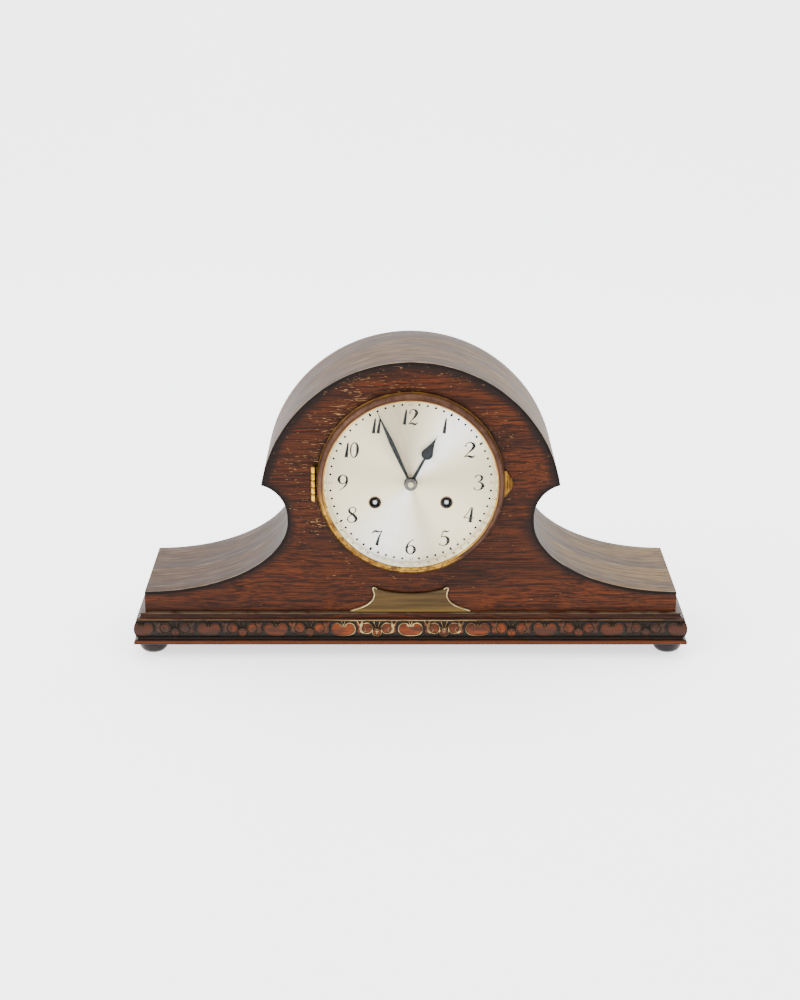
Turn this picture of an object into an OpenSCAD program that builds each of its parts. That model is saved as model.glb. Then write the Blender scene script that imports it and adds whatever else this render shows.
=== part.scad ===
// Striking mantel clock with a low winged case.
// X is across the clock, Y runs from the front (minus) to the back (plus), Z is up.
// The origin is at the middle of the clock's footprint, on the shelf it stands on.

/* [Case] */
// Depth of the case from the front face to the back face
case_depth = 109.2; // [100:0.2:120]
// Width of the case across the ends of its wings
case_w = 426.6; // [422:0.2:432]
// Height of the case bottom above the shelf
case_z = 36.8; // [36:0.2:38]
// Thickness of the front panel
front_t = 10; // [8:0.5:11]
// Thickness of the back panel
back_t = 6; // [5:0.5:7]
// Thickness of the bent skins over the hood and wings
skin_t = 2.2; // [1.8:0.1:2.6]
// Thickness of the end panels
end_t = 8; // [6:0.5:9]
// Thickness of the base board
base_t = 8; // [6:0.5:9]
// Radius of the round hood
hood_r = 119.9; // [119:0.1:121]
// Height of the hood's centre
hood_z = 122.8; // [122:0.1:124]
// Radius of the hollow under each tip of the hood
notch_r = 27.5; // [26:0.5:28]
// Distance of the hollow's centre from the middle
notch_x = 125.3; // [124:0.1:126]
// Height of the hollow's centre
notch_z = 116; // [114:0.5:117]
// Height where the wing starts to sweep outwards
sweep_z = 113; // [111:0.5:114]
// Height of the wing at its outer end
wing_z = 53.4; // [52:0.2:56]

/* [Plinth and feet] */
// How far the plinth moulding stands out from the case
plinth_out = 9.2; // [8:0.2:9.4]
// Height of the underside of the plinth
plinth_z = 11; // [10.5:0.5:12]
// Radius of a bun foot at its widest
foot_r = 11.4; // [10:0.2:12]
// Distance of a foot's centre from the middle, across
foot_x = 208.6; // [200:0.2:210]
// Distance of a foot's centre from the middle, front to back
foot_y = 44; // [40:0.5:44]
// Thickness of the name plaque
plaque_t = 2.4; // [1.6:0.2:3]

/* [Dial and bezel] */
// Height of the dial's centre
dial_z = 145.3; // [144:0.1:147]
// Radius of the dial plate
dial_r = 70; // [69:0.5:70]
// Thickness of the dial plate
dial_t = 0.8; // [0.6:0.1:1]
// Outer radius of the bezel
bezel_r = 74.2; // [74:0.1:75]
// Inner radius of the bezel's front lip
lip_r = 68.3; // [68:0.1:68.4]
// How far the bezel stands out from the case front
bezel_out = 10; // [9.8:0.1:10.5]
// Distance of each winding hole from the middle
wind_x = 28.3; // [28.1:0.1:28.6]
// How far the winding holes are below the dial's centre
wind_drop = 16.5; // [16:0.1:17]
// Radius of the winding holes inside their eyelets
eyelet_r = 4.3; // [4:0.1:4.4]

/* [Hands] */
// Length of the minute hand
minute_len = 65.7; // [62:0.1:66]
// Length of the hour hand
hour_len = 45; // [42:0.5:48]
// Hour shown by the hands
show_hour = 12; // [1:1:12]
// Minute shown by the hands
show_minute = 56; // [0:1:59]

/* [Back door] */
// Half the width of the door opening
door_x = 62; // [56:1:64]
// Height of the bottom of the door opening
door_low = 62; // [58:1:66]
// Height of the top of the door opening
door_high = 196; // [190:1:200]

/* [Pendulum] */
// Length from the suspension to the middle of the bob
pendulum_len = 107; // [104:0.5:109]
// Radius of the bob
bob_r = 15; // [12:0.5:16]

/* [Hidden] */
$fn = 96;
STEEL = "silver";
BRASS = "goldenrod";
OAK = "saddlebrown";
DARK_OAK = "#3b2415";
y_front = -case_depth / 2;
y_back = case_depth / 2;
half_w = case_w / 2;
// Semi-axes of the wing's sweep, a quarter of an ellipse
sweep_a = half_w - (notch_x - notch_r);
sweep_b = sweep_z - wing_z;
ARC_STEPS = 40;

// ---- outline of the case, inset by t ----

// Where the hood's circle meets the hollow's circle
function tip(t) =
  let (r1 = hood_r - t, r2 = notch_r + t, dx = notch_x, dz = notch_z - hood_z,
    d = norm([dx, dz]), a = (r1 * r1 - r2 * r2 + d * d) / (2 * d), h = sqrt(r1 * r1 - a * a))
  [a * dx / d - h * dz / d, hood_z + a * dz / d + h * dx / d];
function hood_arc(t) =
  let (p = tip(t), a0 = atan2(p[1] - hood_z, p[0]))
  [for (i = [0:2 * ARC_STEPS]) let (a = a0 + (180 - 2 * a0) * i / (2 * ARC_STEPS))
    [(hood_r - t) * cos(a), hood_z + (hood_r - t) * sin(a)]];
function sweep_point(a, t) =
  let (n = [-cos(a) / sweep_a, -sin(a) / sweep_b])
  [half_w - sweep_a * cos(a), sweep_z - sweep_b * sin(a)] + t * n / norm(n);
// Right wing, from its outer end up to the hood's tip
function wing_line(t) =
  let (p = tip(t), a1 = atan2(p[1] - notch_z, p[0] - notch_x), steps = ARC_STEPS / 2)
  concat([for (i = [0:ARC_STEPS]) sweep_point(90 - 90 * i / ARC_STEPS, t)],
    [for (i = [0:steps]) let (a = 180 + (a1 - 180) * i / steps)
      [notch_x + (notch_r + t) * cos(a), notch_z + (notch_r + t) * sin(a)]]);
function mirrored(points) = [for (i = [len(points) - 1:-1:0]) [-points[i][0], points[i][1]]];
function inner_points(points) = [for (i = [1:len(points) - 2]) points[i]];
function case_outline(t) = concat([[half_w, case_z]], wing_line(t), inner_points(hood_arc(t)),
  mirrored(wing_line(t)), [[-half_w, case_z]]);
function reversed(points) = [for (i = [len(points) - 1:-1:0]) points[i]];

// ---- small helpers ----

// An outline drawn in X and Z, from y0 back to y1
module slab(y0, y1) translate([0, y1, 0]) rotate([90, 0, 0]) linear_extrude(y1 - y0) children();
// A cylinder along Y
module rod(x, z, y0, y1, r) translate([x, y1, z]) rotate([90, 0, 0]) cylinder(r = r, h = y1 - y0);
// A cylinder along Z
module post(x, y, z0, z1, r) translate([x, y, z0]) cylinder(r = r, h = z1 - z0);
// A box from its lowest corner to its highest corner
module block(low, high) translate(low) cube(high - low);
// A ring profile drawn as [radius, distance forward], turned about an axis along Y
module turned(x, z, y) translate([x, y, z]) rotate([90, 0, 0]) rotate_extrude() children();

// The same, standing on the back face and pointing backwards
module turned_back(x, z) translate([x, y_back, z]) rotate([-90, 0, 0]) rotate_extrude() children();

// ---- case ----

dial_rebate_r = dial_r + 0.2;
dial_rebate_depth = 1.2;
movement_hole_r = 50;
dial_screw_r = 71.6;
dial_screw_angles = [45, 135, 225, 315];
module dial_screw_places() {
  for (a = dial_screw_angles)
    translate([dial_screw_r * cos(a), 0, dial_z + dial_screw_r * sin(a)])
      children();
}
plate_screw_x = 51;
plate_screw_low = -40;
plate_screw_high = 56;
module plate_corners() {
  for (x = [-plate_screw_x, plate_screw_x], z = [plate_screw_low, plate_screw_high])
    translate([x, 0, dial_z + z])
      children();
}
module front_panel() {
  color(OAK) difference() {
    slab(y_front, y_front + front_t) polygon(case_outline(skin_t));
    rod(0, dial_z, y_front - 1, y_front + dial_rebate_depth, dial_rebate_r);
    rod(0, dial_z, y_front, y_front + front_t + 1, movement_hole_r);
    dial_screw_places() rod(0, 0, y_front - 1, y_front + 6, 0.9);
    plate_corners() rod(0, 0, y_front + 4, y_front + front_t + 1, 1.5);
  }
}
module hood_skin() {
  color("dimgray") slab(y_front, y_back)
    polygon(concat(hood_arc(0), reversed(hood_arc(skin_t))));
}
module wing_skin() {
  color("dimgray") slab(y_front, y_back)
    polygon(concat(wing_line(0), reversed(wing_line(skin_t))));
}
module left_wing_skin() mirror([1, 0, 0]) wing_skin();
module right_wing_skin() wing_skin();
module end_panel() {
  color(OAK) block([half_w - end_t, y_front + front_t, case_z],
    [half_w, y_back - back_t, wing_z - skin_t]);
}
module left_end_panel() mirror([1, 0, 0]) end_panel();
module right_end_panel() end_panel();
module back_panel() {
  color("peru") difference() {
    slab(y_back - back_t, y_back) polygon(case_outline(skin_t));
    block([-door_x, y_back - back_t - 1, door_low], [door_x, y_back + 1, door_high]);
  }
}
module base_board() {
  color("peru") block([-half_w + end_t, y_front + front_t, case_z],
    [half_w - end_t, y_back - back_t, case_z + base_t]);
}
block_size = 12;
block_len = 30;
module glue_block() {
  translate([-block_len / 2, 0, 0]) rotate([90, 0, 90]) linear_extrude(block_len)
    polygon([[0, 0], [block_size, 0], [0, block_size]]);
}
module glue_blocks() {
  floor_z = case_z + base_t;
  color("burlywood") for (x = [-140, -95, 95, 140])
    translate([x, y_front + front_t, floor_z]) glue_block();
  color("burlywood") for (x = [-140, 140])
    translate([x, y_back - back_t, floor_z]) mirror([0, 1, 0]) glue_block();
}

// ---- plinth ----

plinth_y = y_front - plinth_out;
mould_in = 8;
foot_screw_r = 1.6;
foot_screw_top = plinth_z + 11;
// Moulding section as [distance out from the case, height]
cushion_low = 17.6;
cushion_high = 31.6;
cushion_out = 7.2;
cushion_bulge = 1.9;
function moulding_section() = concat(
  [[-mould_in, plinth_z], [plinth_out - 0.4, plinth_z], [plinth_out, plinth_z + 0.4],
    [plinth_out, plinth_z + 1.9], [plinth_out - 0.5, plinth_z + 2.4], [6.4, 14.6], [5.7, 15.8],
    [6.2, 17.2]],
  [for (i = [0:12]) [cushion_out + cushion_bulge * sin(180 * i / 12) - 0.4 * i / 12,
    cushion_low + (cushion_high - cushion_low) * i / 12]],
  [[6.8, 32.2]],
  [for (a = [0:15:90]) [3.4 + 3.2 * (1 - sin(a)), 32.6 + 3 * (1 - cos(a))]],
  [[3.4, case_z], [-mould_in, case_z]]);
module plinth_board() {
  color(DARK_OAK) block([-half_w + mould_in, y_front + mould_in, plinth_z],
    [half_w - mould_in, y_back, case_z]);
}
// Moulding along X with its face towards the front, mitred at both ends
module mitred_moulding(half_len, out) {
  difference() {
    translate([-half_len - out, 0, 0]) rotate([90, 0, 90]) linear_extrude(2 * (half_len + out))
      polygon([for (p = moulding_section()) [-p[0], p[1]]]);
    for (turn = [45, 135])
      translate([turn < 90 ? half_len : -half_len, 0, 0]) rotate([0, 0, turn])
        translate([0, -60, 0])
          cube([60, 120, 60]);
  }
}
module front_moulding() {
  color(DARK_OAK) translate([0, y_front, 0]) mitred_moulding(half_w, plinth_out);
}
module side_moulding() {
  difference() {
    translate([half_w, y_back, 0]) rotate([90, 0, 0])
      linear_extrude(y_back - plinth_y)
        polygon(moulding_section());
    translate([half_w, y_front, 0]) rotate([0, 0, 45]) translate([-60, -60, 0]) cube([60, 120, 60]);
    for (y = [-foot_y, foot_y])
      post(foot_x, y, plinth_z - 1, foot_screw_top, foot_screw_r);
  }
}
module side_mouldings() {
  color(DARK_OAK) side_moulding();
  color(DARK_OAK) mirror([1, 0, 0]) side_moulding();
}
module foot_places() {
  for (x = [-foot_x, foot_x], y = [-foot_y, foot_y])
    translate([x, y, 0])
      children();
}
module feet() {
  belly_z = plinth_z * 6 / 11;
  color("black") foot_places() difference() {
    rotate_extrude() polygon(concat([[0, 0]],
      [for (a = [-70:10:50]) [foot_r * (0.42 + 0.58 * cos(a)), belly_z * (1 + sin(a) / sin(70))]],
      [[foot_r * 0.72, plinth_z], [0, plinth_z]]));
    post(0, 0, -1, plinth_z + 1, foot_screw_r);
    post(0, 0, -1, 2.5, 3.4);
  }
}
module foot_screws() {
  color(STEEL) foot_places() difference() {
    union() {
      post(0, 0, 0.5, 2.5, 3.1);
      post(0, 0, 2.4, foot_screw_top, foot_screw_r);
    }
    block([-4, -0.4, 0], [4, 0.4, 1.3]);
  }
}
// Plaque outline: flared sides rising to two rounded ears, with a dip between them
function plaque_half() = concat(
  [[48.8, 0]],
  [for (i = [0:10]) let (t = i / 10, u = 1 - t)
    u * u * u * [48.8, 1.4] + 3 * u * u * t * [40, 4] + 3 * u * t * t * [30.2, 6.5] + t * t * t * [29.6, 15]],
  [for (a = [-30:20:110]) [29 + 1.9 * cos(a), 19.6 + 1.9 * sin(a)]],
  [for (i = [1:8]) [28.2 * (1 - i / 8), 16.5 + 4.3 * pow(1 - i / 8, 2.2)]]);
module plaque() {
  half = plaque_half();
  outline = concat(half, mirrored([for (i = [0:len(half) - 2]) half[i]]));
  color("darkkhaki") translate([0, 0, case_z]) slab(y_front - plaque_t, y_front) polygon(outline);
}

// ---- back door ----

door_gap = 0.4;
door_hinge_zs = [84, 174];
door_hinge_len = 21;
knuckle_r = 1.6;
door_axis_y = y_back + knuckle_r;
door_leaf_t = 0.8;
module back_door() {
  color("peru") difference() {
    block([-door_x + door_gap, y_back - back_t + 1, door_low + door_gap],
      [door_x - door_gap, y_back, door_high - door_gap]);
    rod(50, (door_low + door_high) / 2, y_back - back_t, y_back + 1, 1.6);
  }
}
// One half of each hinge, on the door (sign 1) or the frame (sign -1); which lists its knuckles
module door_leaf(sign, which, bore) {
  part = door_hinge_len / 3;
  for (z = door_hinge_zs) difference() {
    union() {
      for (i = which) {
        post(-door_x, door_axis_y, z + part * i + 0.1, z + part * (i + 1) - 0.1, knuckle_r);
        block([-door_x + (sign > 0 ? 0 : -3), y_back, z + part * i + 0.1],
          [-door_x + (sign > 0 ? 3 : 0), y_back + door_leaf_t, z + part * (i + 1) - 0.1]);
      }
      block([-door_x + (sign > 0 ? 2 : -13), y_back, z],
        [-door_x + (sign > 0 ? 13 : -2), y_back + door_leaf_t, z + door_hinge_len]);
    }
    post(-door_x, door_axis_y, z - 1, z + door_hinge_len + 1, bore);
  }
}
pin_r = 0.8;
pin_clearance = 0.05;
module door_hinges_fixed() color(BRASS) door_leaf(-1, [0, 2], pin_r);
module door_hinges_moving() color(BRASS) door_leaf(1, [1], pin_r + pin_clearance);
module door_hinge_pins() {
  color(STEEL) for (z = door_hinge_zs)
    post(-door_x, door_axis_y, z, z + door_hinge_len, pin_r);
}
module door_knob() {
  z = (door_low + door_high) / 2;
  color(BRASS) union() {
    rod(50, z, y_back - 4.5, y_back + 1, 1.6);
    turned_back(50, z) polygon(concat([[0, 0], [4.2, 0], [4.2, 0.8], [2, 1.6], [1.9, 3.4]],
      [for (a = [-50:12.5:90]) [5 * cos(a) * 0.98, 6.4 + 3.6 * sin(a)]]));
  }
}

// ---- dial and bezel ----

wind_z = dial_z - wind_drop;
pan_t = 0.7;
module dial_pan() {
  color(BRASS) difference() {
    rod(0, dial_z, y_front - pan_t, y_front, bezel_r - 0.4);
    rod(0, dial_z, y_front - 2, y_front + 1, 68.6);
    dial_screw_places() rod(0, 0, y_front - 2, y_front + 1, 0.9);
  }
}
module dial_screws() {
  color(BRASS) dial_screw_places() difference() {
    union() {
      rod(0, 0, y_front, y_front + 6, 0.9);
      rod(0, 0, y_front - pan_t, y_front + 0.1, 0.9);
      rod(0, 0, y_front - pan_t - 0.6, y_front - pan_t, 1.15);
    }
    block([-2, y_front - 2, -0.2], [2, y_front - pan_t - 0.3, 0.2]);
  }
}
module dial_plate() {
  color("gainsboro") difference() {
    rod(0, dial_z, y_front, y_front + dial_t, dial_r);
    rod(0, dial_z, y_front - 1, y_front + 2, 4);
    for (s = [-1, 1])
      rod(s * wind_x, wind_z, y_front - 1, y_front + 2, eyelet_r + 0.45);
  }
}
module winding_eyelets() {
  color(BRASS) for (s = [-1, 1])
    turned(s * wind_x, wind_z, y_front + dial_t)
      polygon([[eyelet_r, 0], [eyelet_r + 0.45, 0], [eyelet_r + 0.45, dial_t], [eyelet_r + 0.9, dial_t],
        [eyelet_r + 0.7, dial_t + 0.35], [eyelet_r + 0.1, dial_t + 0.4], [eyelet_r, dial_t + 0.2]]);
}
bezel_back = 1.1;
bezel_wall = 1;
glass_t = 1.5;
glass_front = bezel_out - 1;
glass_r = lip_r + 0.7;
// The bezel's rounded shoulder as [radius, distance forward], moved in by t
function bezel_shoulder(t) = [for (i = [0:10]) let (a = 90 * i / 10)
  [lip_r + 0.9 + (bezel_r - lip_r - 0.9 - t) * cos(a), 3.8 + (bezel_out - 3.8 - t) * sin(a)]];
module bezel_ring() {
  color(BRASS) turned(0, dial_z, y_front) polygon(concat(
    [[bezel_r - bezel_wall, bezel_back], [bezel_r, bezel_back]],
    bezel_shoulder(0),
    [[lip_r + 0.3, bezel_out - 0.2], [lip_r, bezel_out - 0.6], [lip_r, glass_front]],
    reversed(bezel_shoulder(bezel_wall))));
}
module bezel_glass() {
  color([0.8, 0.9, 0.9, 0.3]) rod(0, dial_z, y_front - glass_front, y_front - glass_front + glass_t,
    glass_r);
}
sight_r = 66.4;
flange_r = 72.1;
module sight_ring() {
  back = glass_front - glass_t;
  color(BRASS) turned(0, dial_z, y_front) polygon([[glass_r, back], [glass_r - 0.7, back],
    [sight_r, 0.5], [sight_r + 0.5, 0.5], [glass_r - 0.1, back - 0.7], [flange_r, back - 0.7],
    [flange_r, back - 0.2], [glass_r, back - 0.2]]);
}
// Hinge of the bezel, an upright pin at the left
hinge_x = -bezel_r - 2.3;
hinge_y = y_front - 3;
hinge_z = dial_z - 14.4;
hinge_part = 5.76;
hinge_r = 2.2;
hinge_pin_r = 0.8;
module hinge_knuckle(i, bore) {
  difference() {
    union() {
      post(hinge_x, hinge_y, hinge_z + hinge_part * i + 0.1, hinge_z + hinge_part * (i + 1) - 0.1,
        hinge_r);
      children();
    }
    post(hinge_x, hinge_y, hinge_z - 1, hinge_z + 6 * hinge_part, bore);
  }
}
module bezel_hinge_moving() {
  color("gold") for (i = [0, 2, 4])
    hinge_knuckle(i, hinge_pin_r + pin_clearance) difference() {
      block([hinge_x, hinge_y - 0.8, hinge_z + hinge_part * i + 0.1],
        [-70, hinge_y + 0.8, hinge_z + hinge_part * (i + 1) - 0.1]);
      rod(0, dial_z, y_front - 20, y_front + 5, bezel_r);
    }
}
module bezel_hinge_fixed() {
  color("gold") for (i = [1, 3])
    hinge_knuckle(i, hinge_pin_r) difference() {
      block([hinge_x - 1.2, y_front - pan_t, hinge_z + hinge_part * i + 0.1],
        [-70, y_front, hinge_z + hinge_part * (i + 1) - 0.1]);
      rod(0, dial_z, y_front - 20, y_front + 5, bezel_r - 0.4);
    }
  color("gold") for (i = [1, 3])
    block([hinge_x - 1.6, y_front - 1.5, hinge_z + hinge_part * i + 0.1],
      [hinge_x - 0.6, y_front, hinge_z + hinge_part * (i + 1) - 0.1]);
}
module bezel_hinge_pin() {
  color(STEEL) post(hinge_x, hinge_y, hinge_z, hinge_z + 5 * hinge_part, hinge_pin_r);
}
tab_half = 10.5;
tab_out = 5.3;
module thumb_tab() {
  z = dial_z - 0.4;
  color(BRASS) difference() {
    translate([0, 0, z]) slab(y_front - 3.6, y_front - 1.4)
      polygon(concat([[70, -tab_half], [bezel_r + 0.6, -tab_half]],
        [for (i = [0:16]) let (u = i / 8 - 1)
          [bezel_r + 1.4 + tab_out * pow(cos(90 * u), 1.6), tab_half * u]],
        [[bezel_r + 0.6, tab_half], [70, tab_half]]));
    rod(0, dial_z, y_front - 20, y_front + 5, bezel_r);
    for (s = [-1, 1], i = [1:3])
      translate([bezel_r + tab_out - i * 0.9, y_front - 3.6, z + s * i * 2.4])
        cube([5, 0.8, 0.9], center = true);
  }
}

// ---- hands ----

minute_turn = -6 * show_minute;
hour_turn = -30 * (show_hour % 12) - show_minute / 2;
hour_hand_y = y_front - 3.6;
minute_hand_y = y_front - 5.2;
hand_t = 0.6;
cannon_r = 2.55;
hour_pipe_r = 3.3;
// Half the width of the minute hand at share u of its length
function minute_half(u) = u < 0.56 ? 0.9 + 0.9 * sin(90 * u / 0.56) : 1.8 * (1 - (u - 0.56) / 0.44);
function minute_shape() = concat([for (i = [0:24]) [minute_half(i / 24), 3 + (minute_len - 3) * i / 24]],
  [for (i = [23:-1:0]) [-minute_half(i / 24), 3 + (minute_len - 3) * i / 24]]);
// Half the width of the hour hand at distance d: a stem, a round leaf and a long point
leaf_at = 27.3;
leaf_r = 4.6;
leaf_end = 1.6;
function stem_half(d) = 1.3 - 0.5 * (d - 4) / 18;
function leaf_half(d) = sqrt(max(0, leaf_r * leaf_r - (d - leaf_at) * (d - leaf_at)));
function hour_half(d) = d < leaf_at - leaf_r ? stem_half(d) :
  d < leaf_at + leaf_end ? max(stem_half(d), leaf_half(d)) :
  leaf_half(leaf_at + leaf_end) * pow(max(0, (hour_len - d) / (hour_len - leaf_at - leaf_end)), 1.6);
hour_steps = [for (i = [0:40]) 4 + (hour_len - 4) * i / 40];
function hour_shape() = concat([for (d = hour_steps) [hour_half(d), d]],
  [for (i = [39:-1:0]) [-hour_half(hour_steps[i]), hour_steps[i]]]);
module hand(y, turn, hub_r, bore) {
  translate([0, y + hand_t, dial_z]) rotate([90, 0, 0]) rotate([0, 0, turn]) difference() {
    linear_extrude(hand_t) {
      children();
      circle(r = hub_r);
    }
    translate([0, 0, -1]) cylinder(r = bore, h = 3);
  }
}
arbor_r = 1.5;
module minute_hand() color("#222222") hand(minute_hand_y, minute_turn, 4.6, arbor_r) polygon(minute_shape());
module hour_hand() color("#222222") hand(hour_hand_y, hour_turn, 5.4, hour_pipe_r) polygon(hour_shape());
module hand_nut() {
  color(STEEL) difference() {
    turned(0, dial_z, minute_hand_y)
      polygon(concat([[0, 0], [5.2, 0]], [for (a = [0:15:75]) [3.9 + 1.3 * cos(a), 0.5 * sin(a)]],
        [for (a = [0:15:90]) [3.7 * cos(a), 0.5 + 1.2 * sin(a)]]));
    rod(0, dial_z, minute_hand_y - 1, minute_hand_y + 1, arbor_r);
  }
}

// ---- toothed wheels ----

// Wheel teeth: how far they stand above and below the pitch circle, in modules, and
// how much of the pitch each takes at the tip, the pitch circle and the root
WHEEL_TEETH = [0.9, 1.3, 0.15, 0.38, 0.5];
PINION_TEETH = [0.6, 1.4, 0.12, 0.28, 0.28];
// Outline of n teeth of module m, tooth 0 centred at the angle phase
function gear_points(n, m, phase, teeth) =
  let (r = n * m / 2, w = 180 * m / 2 / r)
  [for (i = [0:n - 1]) let (a = phase + 360 * i / n)
    for (c = [[-teeth[1], -teeth[4]], [0, -teeth[3]], [teeth[0], -teeth[2]],
      [teeth[0], teeth[2]], [0, teeth[3]], [-teeth[1], teeth[4]]])
      (r + c[0] * m) * [cos(a + c[1] * w), sin(a + c[1] * w)]];
// A crossed-out wheel with its teeth, centred at x and z, from y0 to y1
module wheel(x, z, y0, y1, n, m, phase, arms, bore) {
  r = n * m / 2;
  rim = r - 1.3 * m - max(1.2, r * 0.09);
  hub = max(bore + 1.6, r * 0.2);
  slab_at(x, z, y0, y1) difference() {
    polygon(gear_points(n, m, phase, WHEEL_TEETH));
    circle(r = bore);
    if (arms > 0) difference() {
      circle(r = rim);
      circle(r = hub);
      for (i = [0:arms - 1])
        rotate([0, 0, phase + 360 * i / arms])
          translate([0, -r * 0.055, 0])
            square([r, r * 0.11]);
    }
  }
}
module slab_at(x, z, y0, y1) translate([x, y1, z]) rotate([90, 0, 0]) linear_extrude(y1 - y0) children();
module pinion(x, z, y0, y1, n, m, phase) {
  slab_at(x, z, y0, y1) polygon(gear_points(n, m, phase, PINION_TEETH));
}
// Phase of a wheel of nb teeth at angle beta from one of na teeth and phase pa
function meshed(pa, na, nb, beta) = beta + 180 + 180 / nb - (pa - beta) * na / nb;
function away(p, dist, a) = p + dist * [cos(a), sin(a)];
function bearing(p, q) = atan2(q[1] - p[1], q[0] - p[0]);
// Point at distance ra from a and rb from b, on the left of the line from a to b
function between(a, ra, b, rb) =
  let (d = norm(b - a), u = (b - a) / d, s = (ra * ra - rb * rb + d * d) / (2 * d),
    h = sqrt(ra * ra - s * s))
  a + s * u + h * [-u[1], u[0]];

// ---- where the movement's arbors are ----

plate_t = 1.6;
front_plate_y = y_front + front_t;
plate_gap = 34;
in_front = front_plate_y + plate_t;
in_back = in_front + plate_gap;
rear_plate_back = in_back + plate_t;
C = [0, dial_z];
TIME_B = [wind_x, wind_z];
STRIKE_B = [-wind_x, wind_z];
BARREL_N = 72;
BARREL_PINION_N = 10;
BARREL_M = 0.75;
INTER_N = 70;
INTER_PINION_N = 10;
INTER_M = 0.77;
CENTRE_N = 84;
THIRD_N = 84;
LEAVES = 7;
CENTRE_M = 0.44;
THIRD_M = 0.396;
ESCAPE_N = 38;
I = between(C, (INTER_N + INTER_PINION_N) * INTER_M / 2, TIME_B,
  (BARREL_N + BARREL_PINION_N) * BARREL_M / 2);
T = away(C, (CENTRE_N + LEAVES) * CENTRE_M / 2, 95);
third_reach = (THIRD_N + LEAVES) * THIRD_M / 2;
E = T + [-T[0], sqrt(third_reach * third_reach - T[0] * T[0])];
ANCHOR_UP = 18.6;
A = E + [0, ANCHOR_UP];
MOTION_M = 0.5;
M = away(C, (15 + 45) * MOTION_M / 2, -90);
S = away(STRIKE_B, (BARREL_N + BARREL_PINION_N) * BARREL_M / 2, 100);
STRIKE_N = 60;
STRIKE_LEAVES = 8;
STRIKE_M = 0.5;
LOCK_N = 56;
LOCK_M = 0.42;
L = away(S, (STRIKE_N + STRIKE_LEAVES) * STRIKE_M / 2, 80);
F = away(L, (LOCK_N + LEAVES) * LOCK_M / 2, 60);
H = [-44, dial_z - 42];
pivot_r = 1;
pivot_hole_r = 1.05;
wind_arbor_r = 2.45;
wind_hole_r = 2.5;
centre_hole_r = 1.55;

// ---- movement frame ----

plate_half = 56;
plate_low = -46;
plate_high = 62;
function rounded_rect(x, z0, z1, r) = [for (c = [[x - r, z1 - r, 0], [-x + r, z1 - r, 90],
  [-x + r, z0 + r, 180], [x - r, z0 + r, 270]]) for (a = [0:15:90])
    [c[0] + r * cos(c[2] + a), c[1] + r * sin(c[2] + a)]];
PILLARS = [[-plate_half + 5, 44], [plate_half - 5, 44], [0, -40]];
module movement_plate(y0, y1, centre_r, wind_r) {
  color(BRASS) difference() {
    translate([0, 0, dial_z]) slab(y0, y1)
      polygon(rounded_rect(plate_half, plate_low, plate_high, 6));
    rod(C[0], C[1], y0 - 1, y1 + 1, centre_r);
    for (b = [TIME_B, STRIKE_B])
      rod(b[0], b[1], y0 - 1, y1 + 1, wind_r);
    for (p = [I, T, E, A, S, L, F, H])
      rod(p[0], p[1], y0 - 1, y1 + 1, pivot_hole_r);
    for (p = PILLARS)
      rod(p[0], dial_z + p[1], y0 - 1, y1 + 1, 1.6);
    plate_corners() rod(0, 0, y0 - 1, y1 + 1, 1.5);
  }
}
module movement_front_plate() {
  difference() {
    movement_plate(front_plate_y, in_front, centre_hole_r, wind_hole_r);
    rod(M[0], M[1], front_plate_y - 1, in_front + 1, pivot_hole_r);
  }
}
module movement_rear_plate() movement_plate(in_back, rear_plate_back, centre_hole_r, wind_hole_r);
module plate_pillars() {
  color(BRASS) for (p = PILLARS) union() {
    rod(p[0], dial_z + p[1], in_front, in_back, 3);
    rod(p[0], dial_z + p[1], front_plate_y, rear_plate_back + 2, 1.6);
    slab_at(p[0], dial_z + p[1], rear_plate_back, rear_plate_back + 1.8) circle(r = 3.4, $fn = 6);
  }
}
module movement_screws() {
  color(STEEL) plate_corners() difference() {
    union() {
      rod(0, 0, y_front + 4, rear_plate_back, 1.5);
      rod(0, 0, rear_plate_back, rear_plate_back + 1.6, 3);
    }
    block([-4, rear_plate_back + 0.8, -0.35], [4, rear_plate_back + 3, 0.35]);
  }
}

// ---- going train ----

// Layers, from the front plate to the rear plate
inter_y = in_front + 1.6;
drum_y = in_front + 5;
drum_len = 20;
great_y = drum_y + drum_len;
great_t = 2.4;
centre_y = in_back - 4;
wheel_t = 1;
escape_y = in_front + 13;
BARREL_R = BARREL_N * BARREL_M / 2;
TIME_PHASE = 0;
INTER_PINION_PHASE = meshed(TIME_PHASE, BARREL_N, BARREL_PINION_N, bearing(TIME_B, I));
CENTRE_PINION_PHASE = meshed(0, INTER_N, INTER_PINION_N, bearing(I, C));
THIRD_PINION_PHASE = meshed(0, CENTRE_N, LEAVES, bearing(C, T));
ESCAPE_PINION_PHASE = meshed(0, THIRD_N, LEAVES, bearing(T, E));
module arbor(p, y0, y1, r) {
  rod(p[0], p[1], y0, y1, r);
}
module pivoted_arbor(p, front, back, r) {
  arbor(p, front + 0.4, back - 0.4, r);
  arbor(p, front - plate_t, back + plate_t, pivot_r);
}
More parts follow.
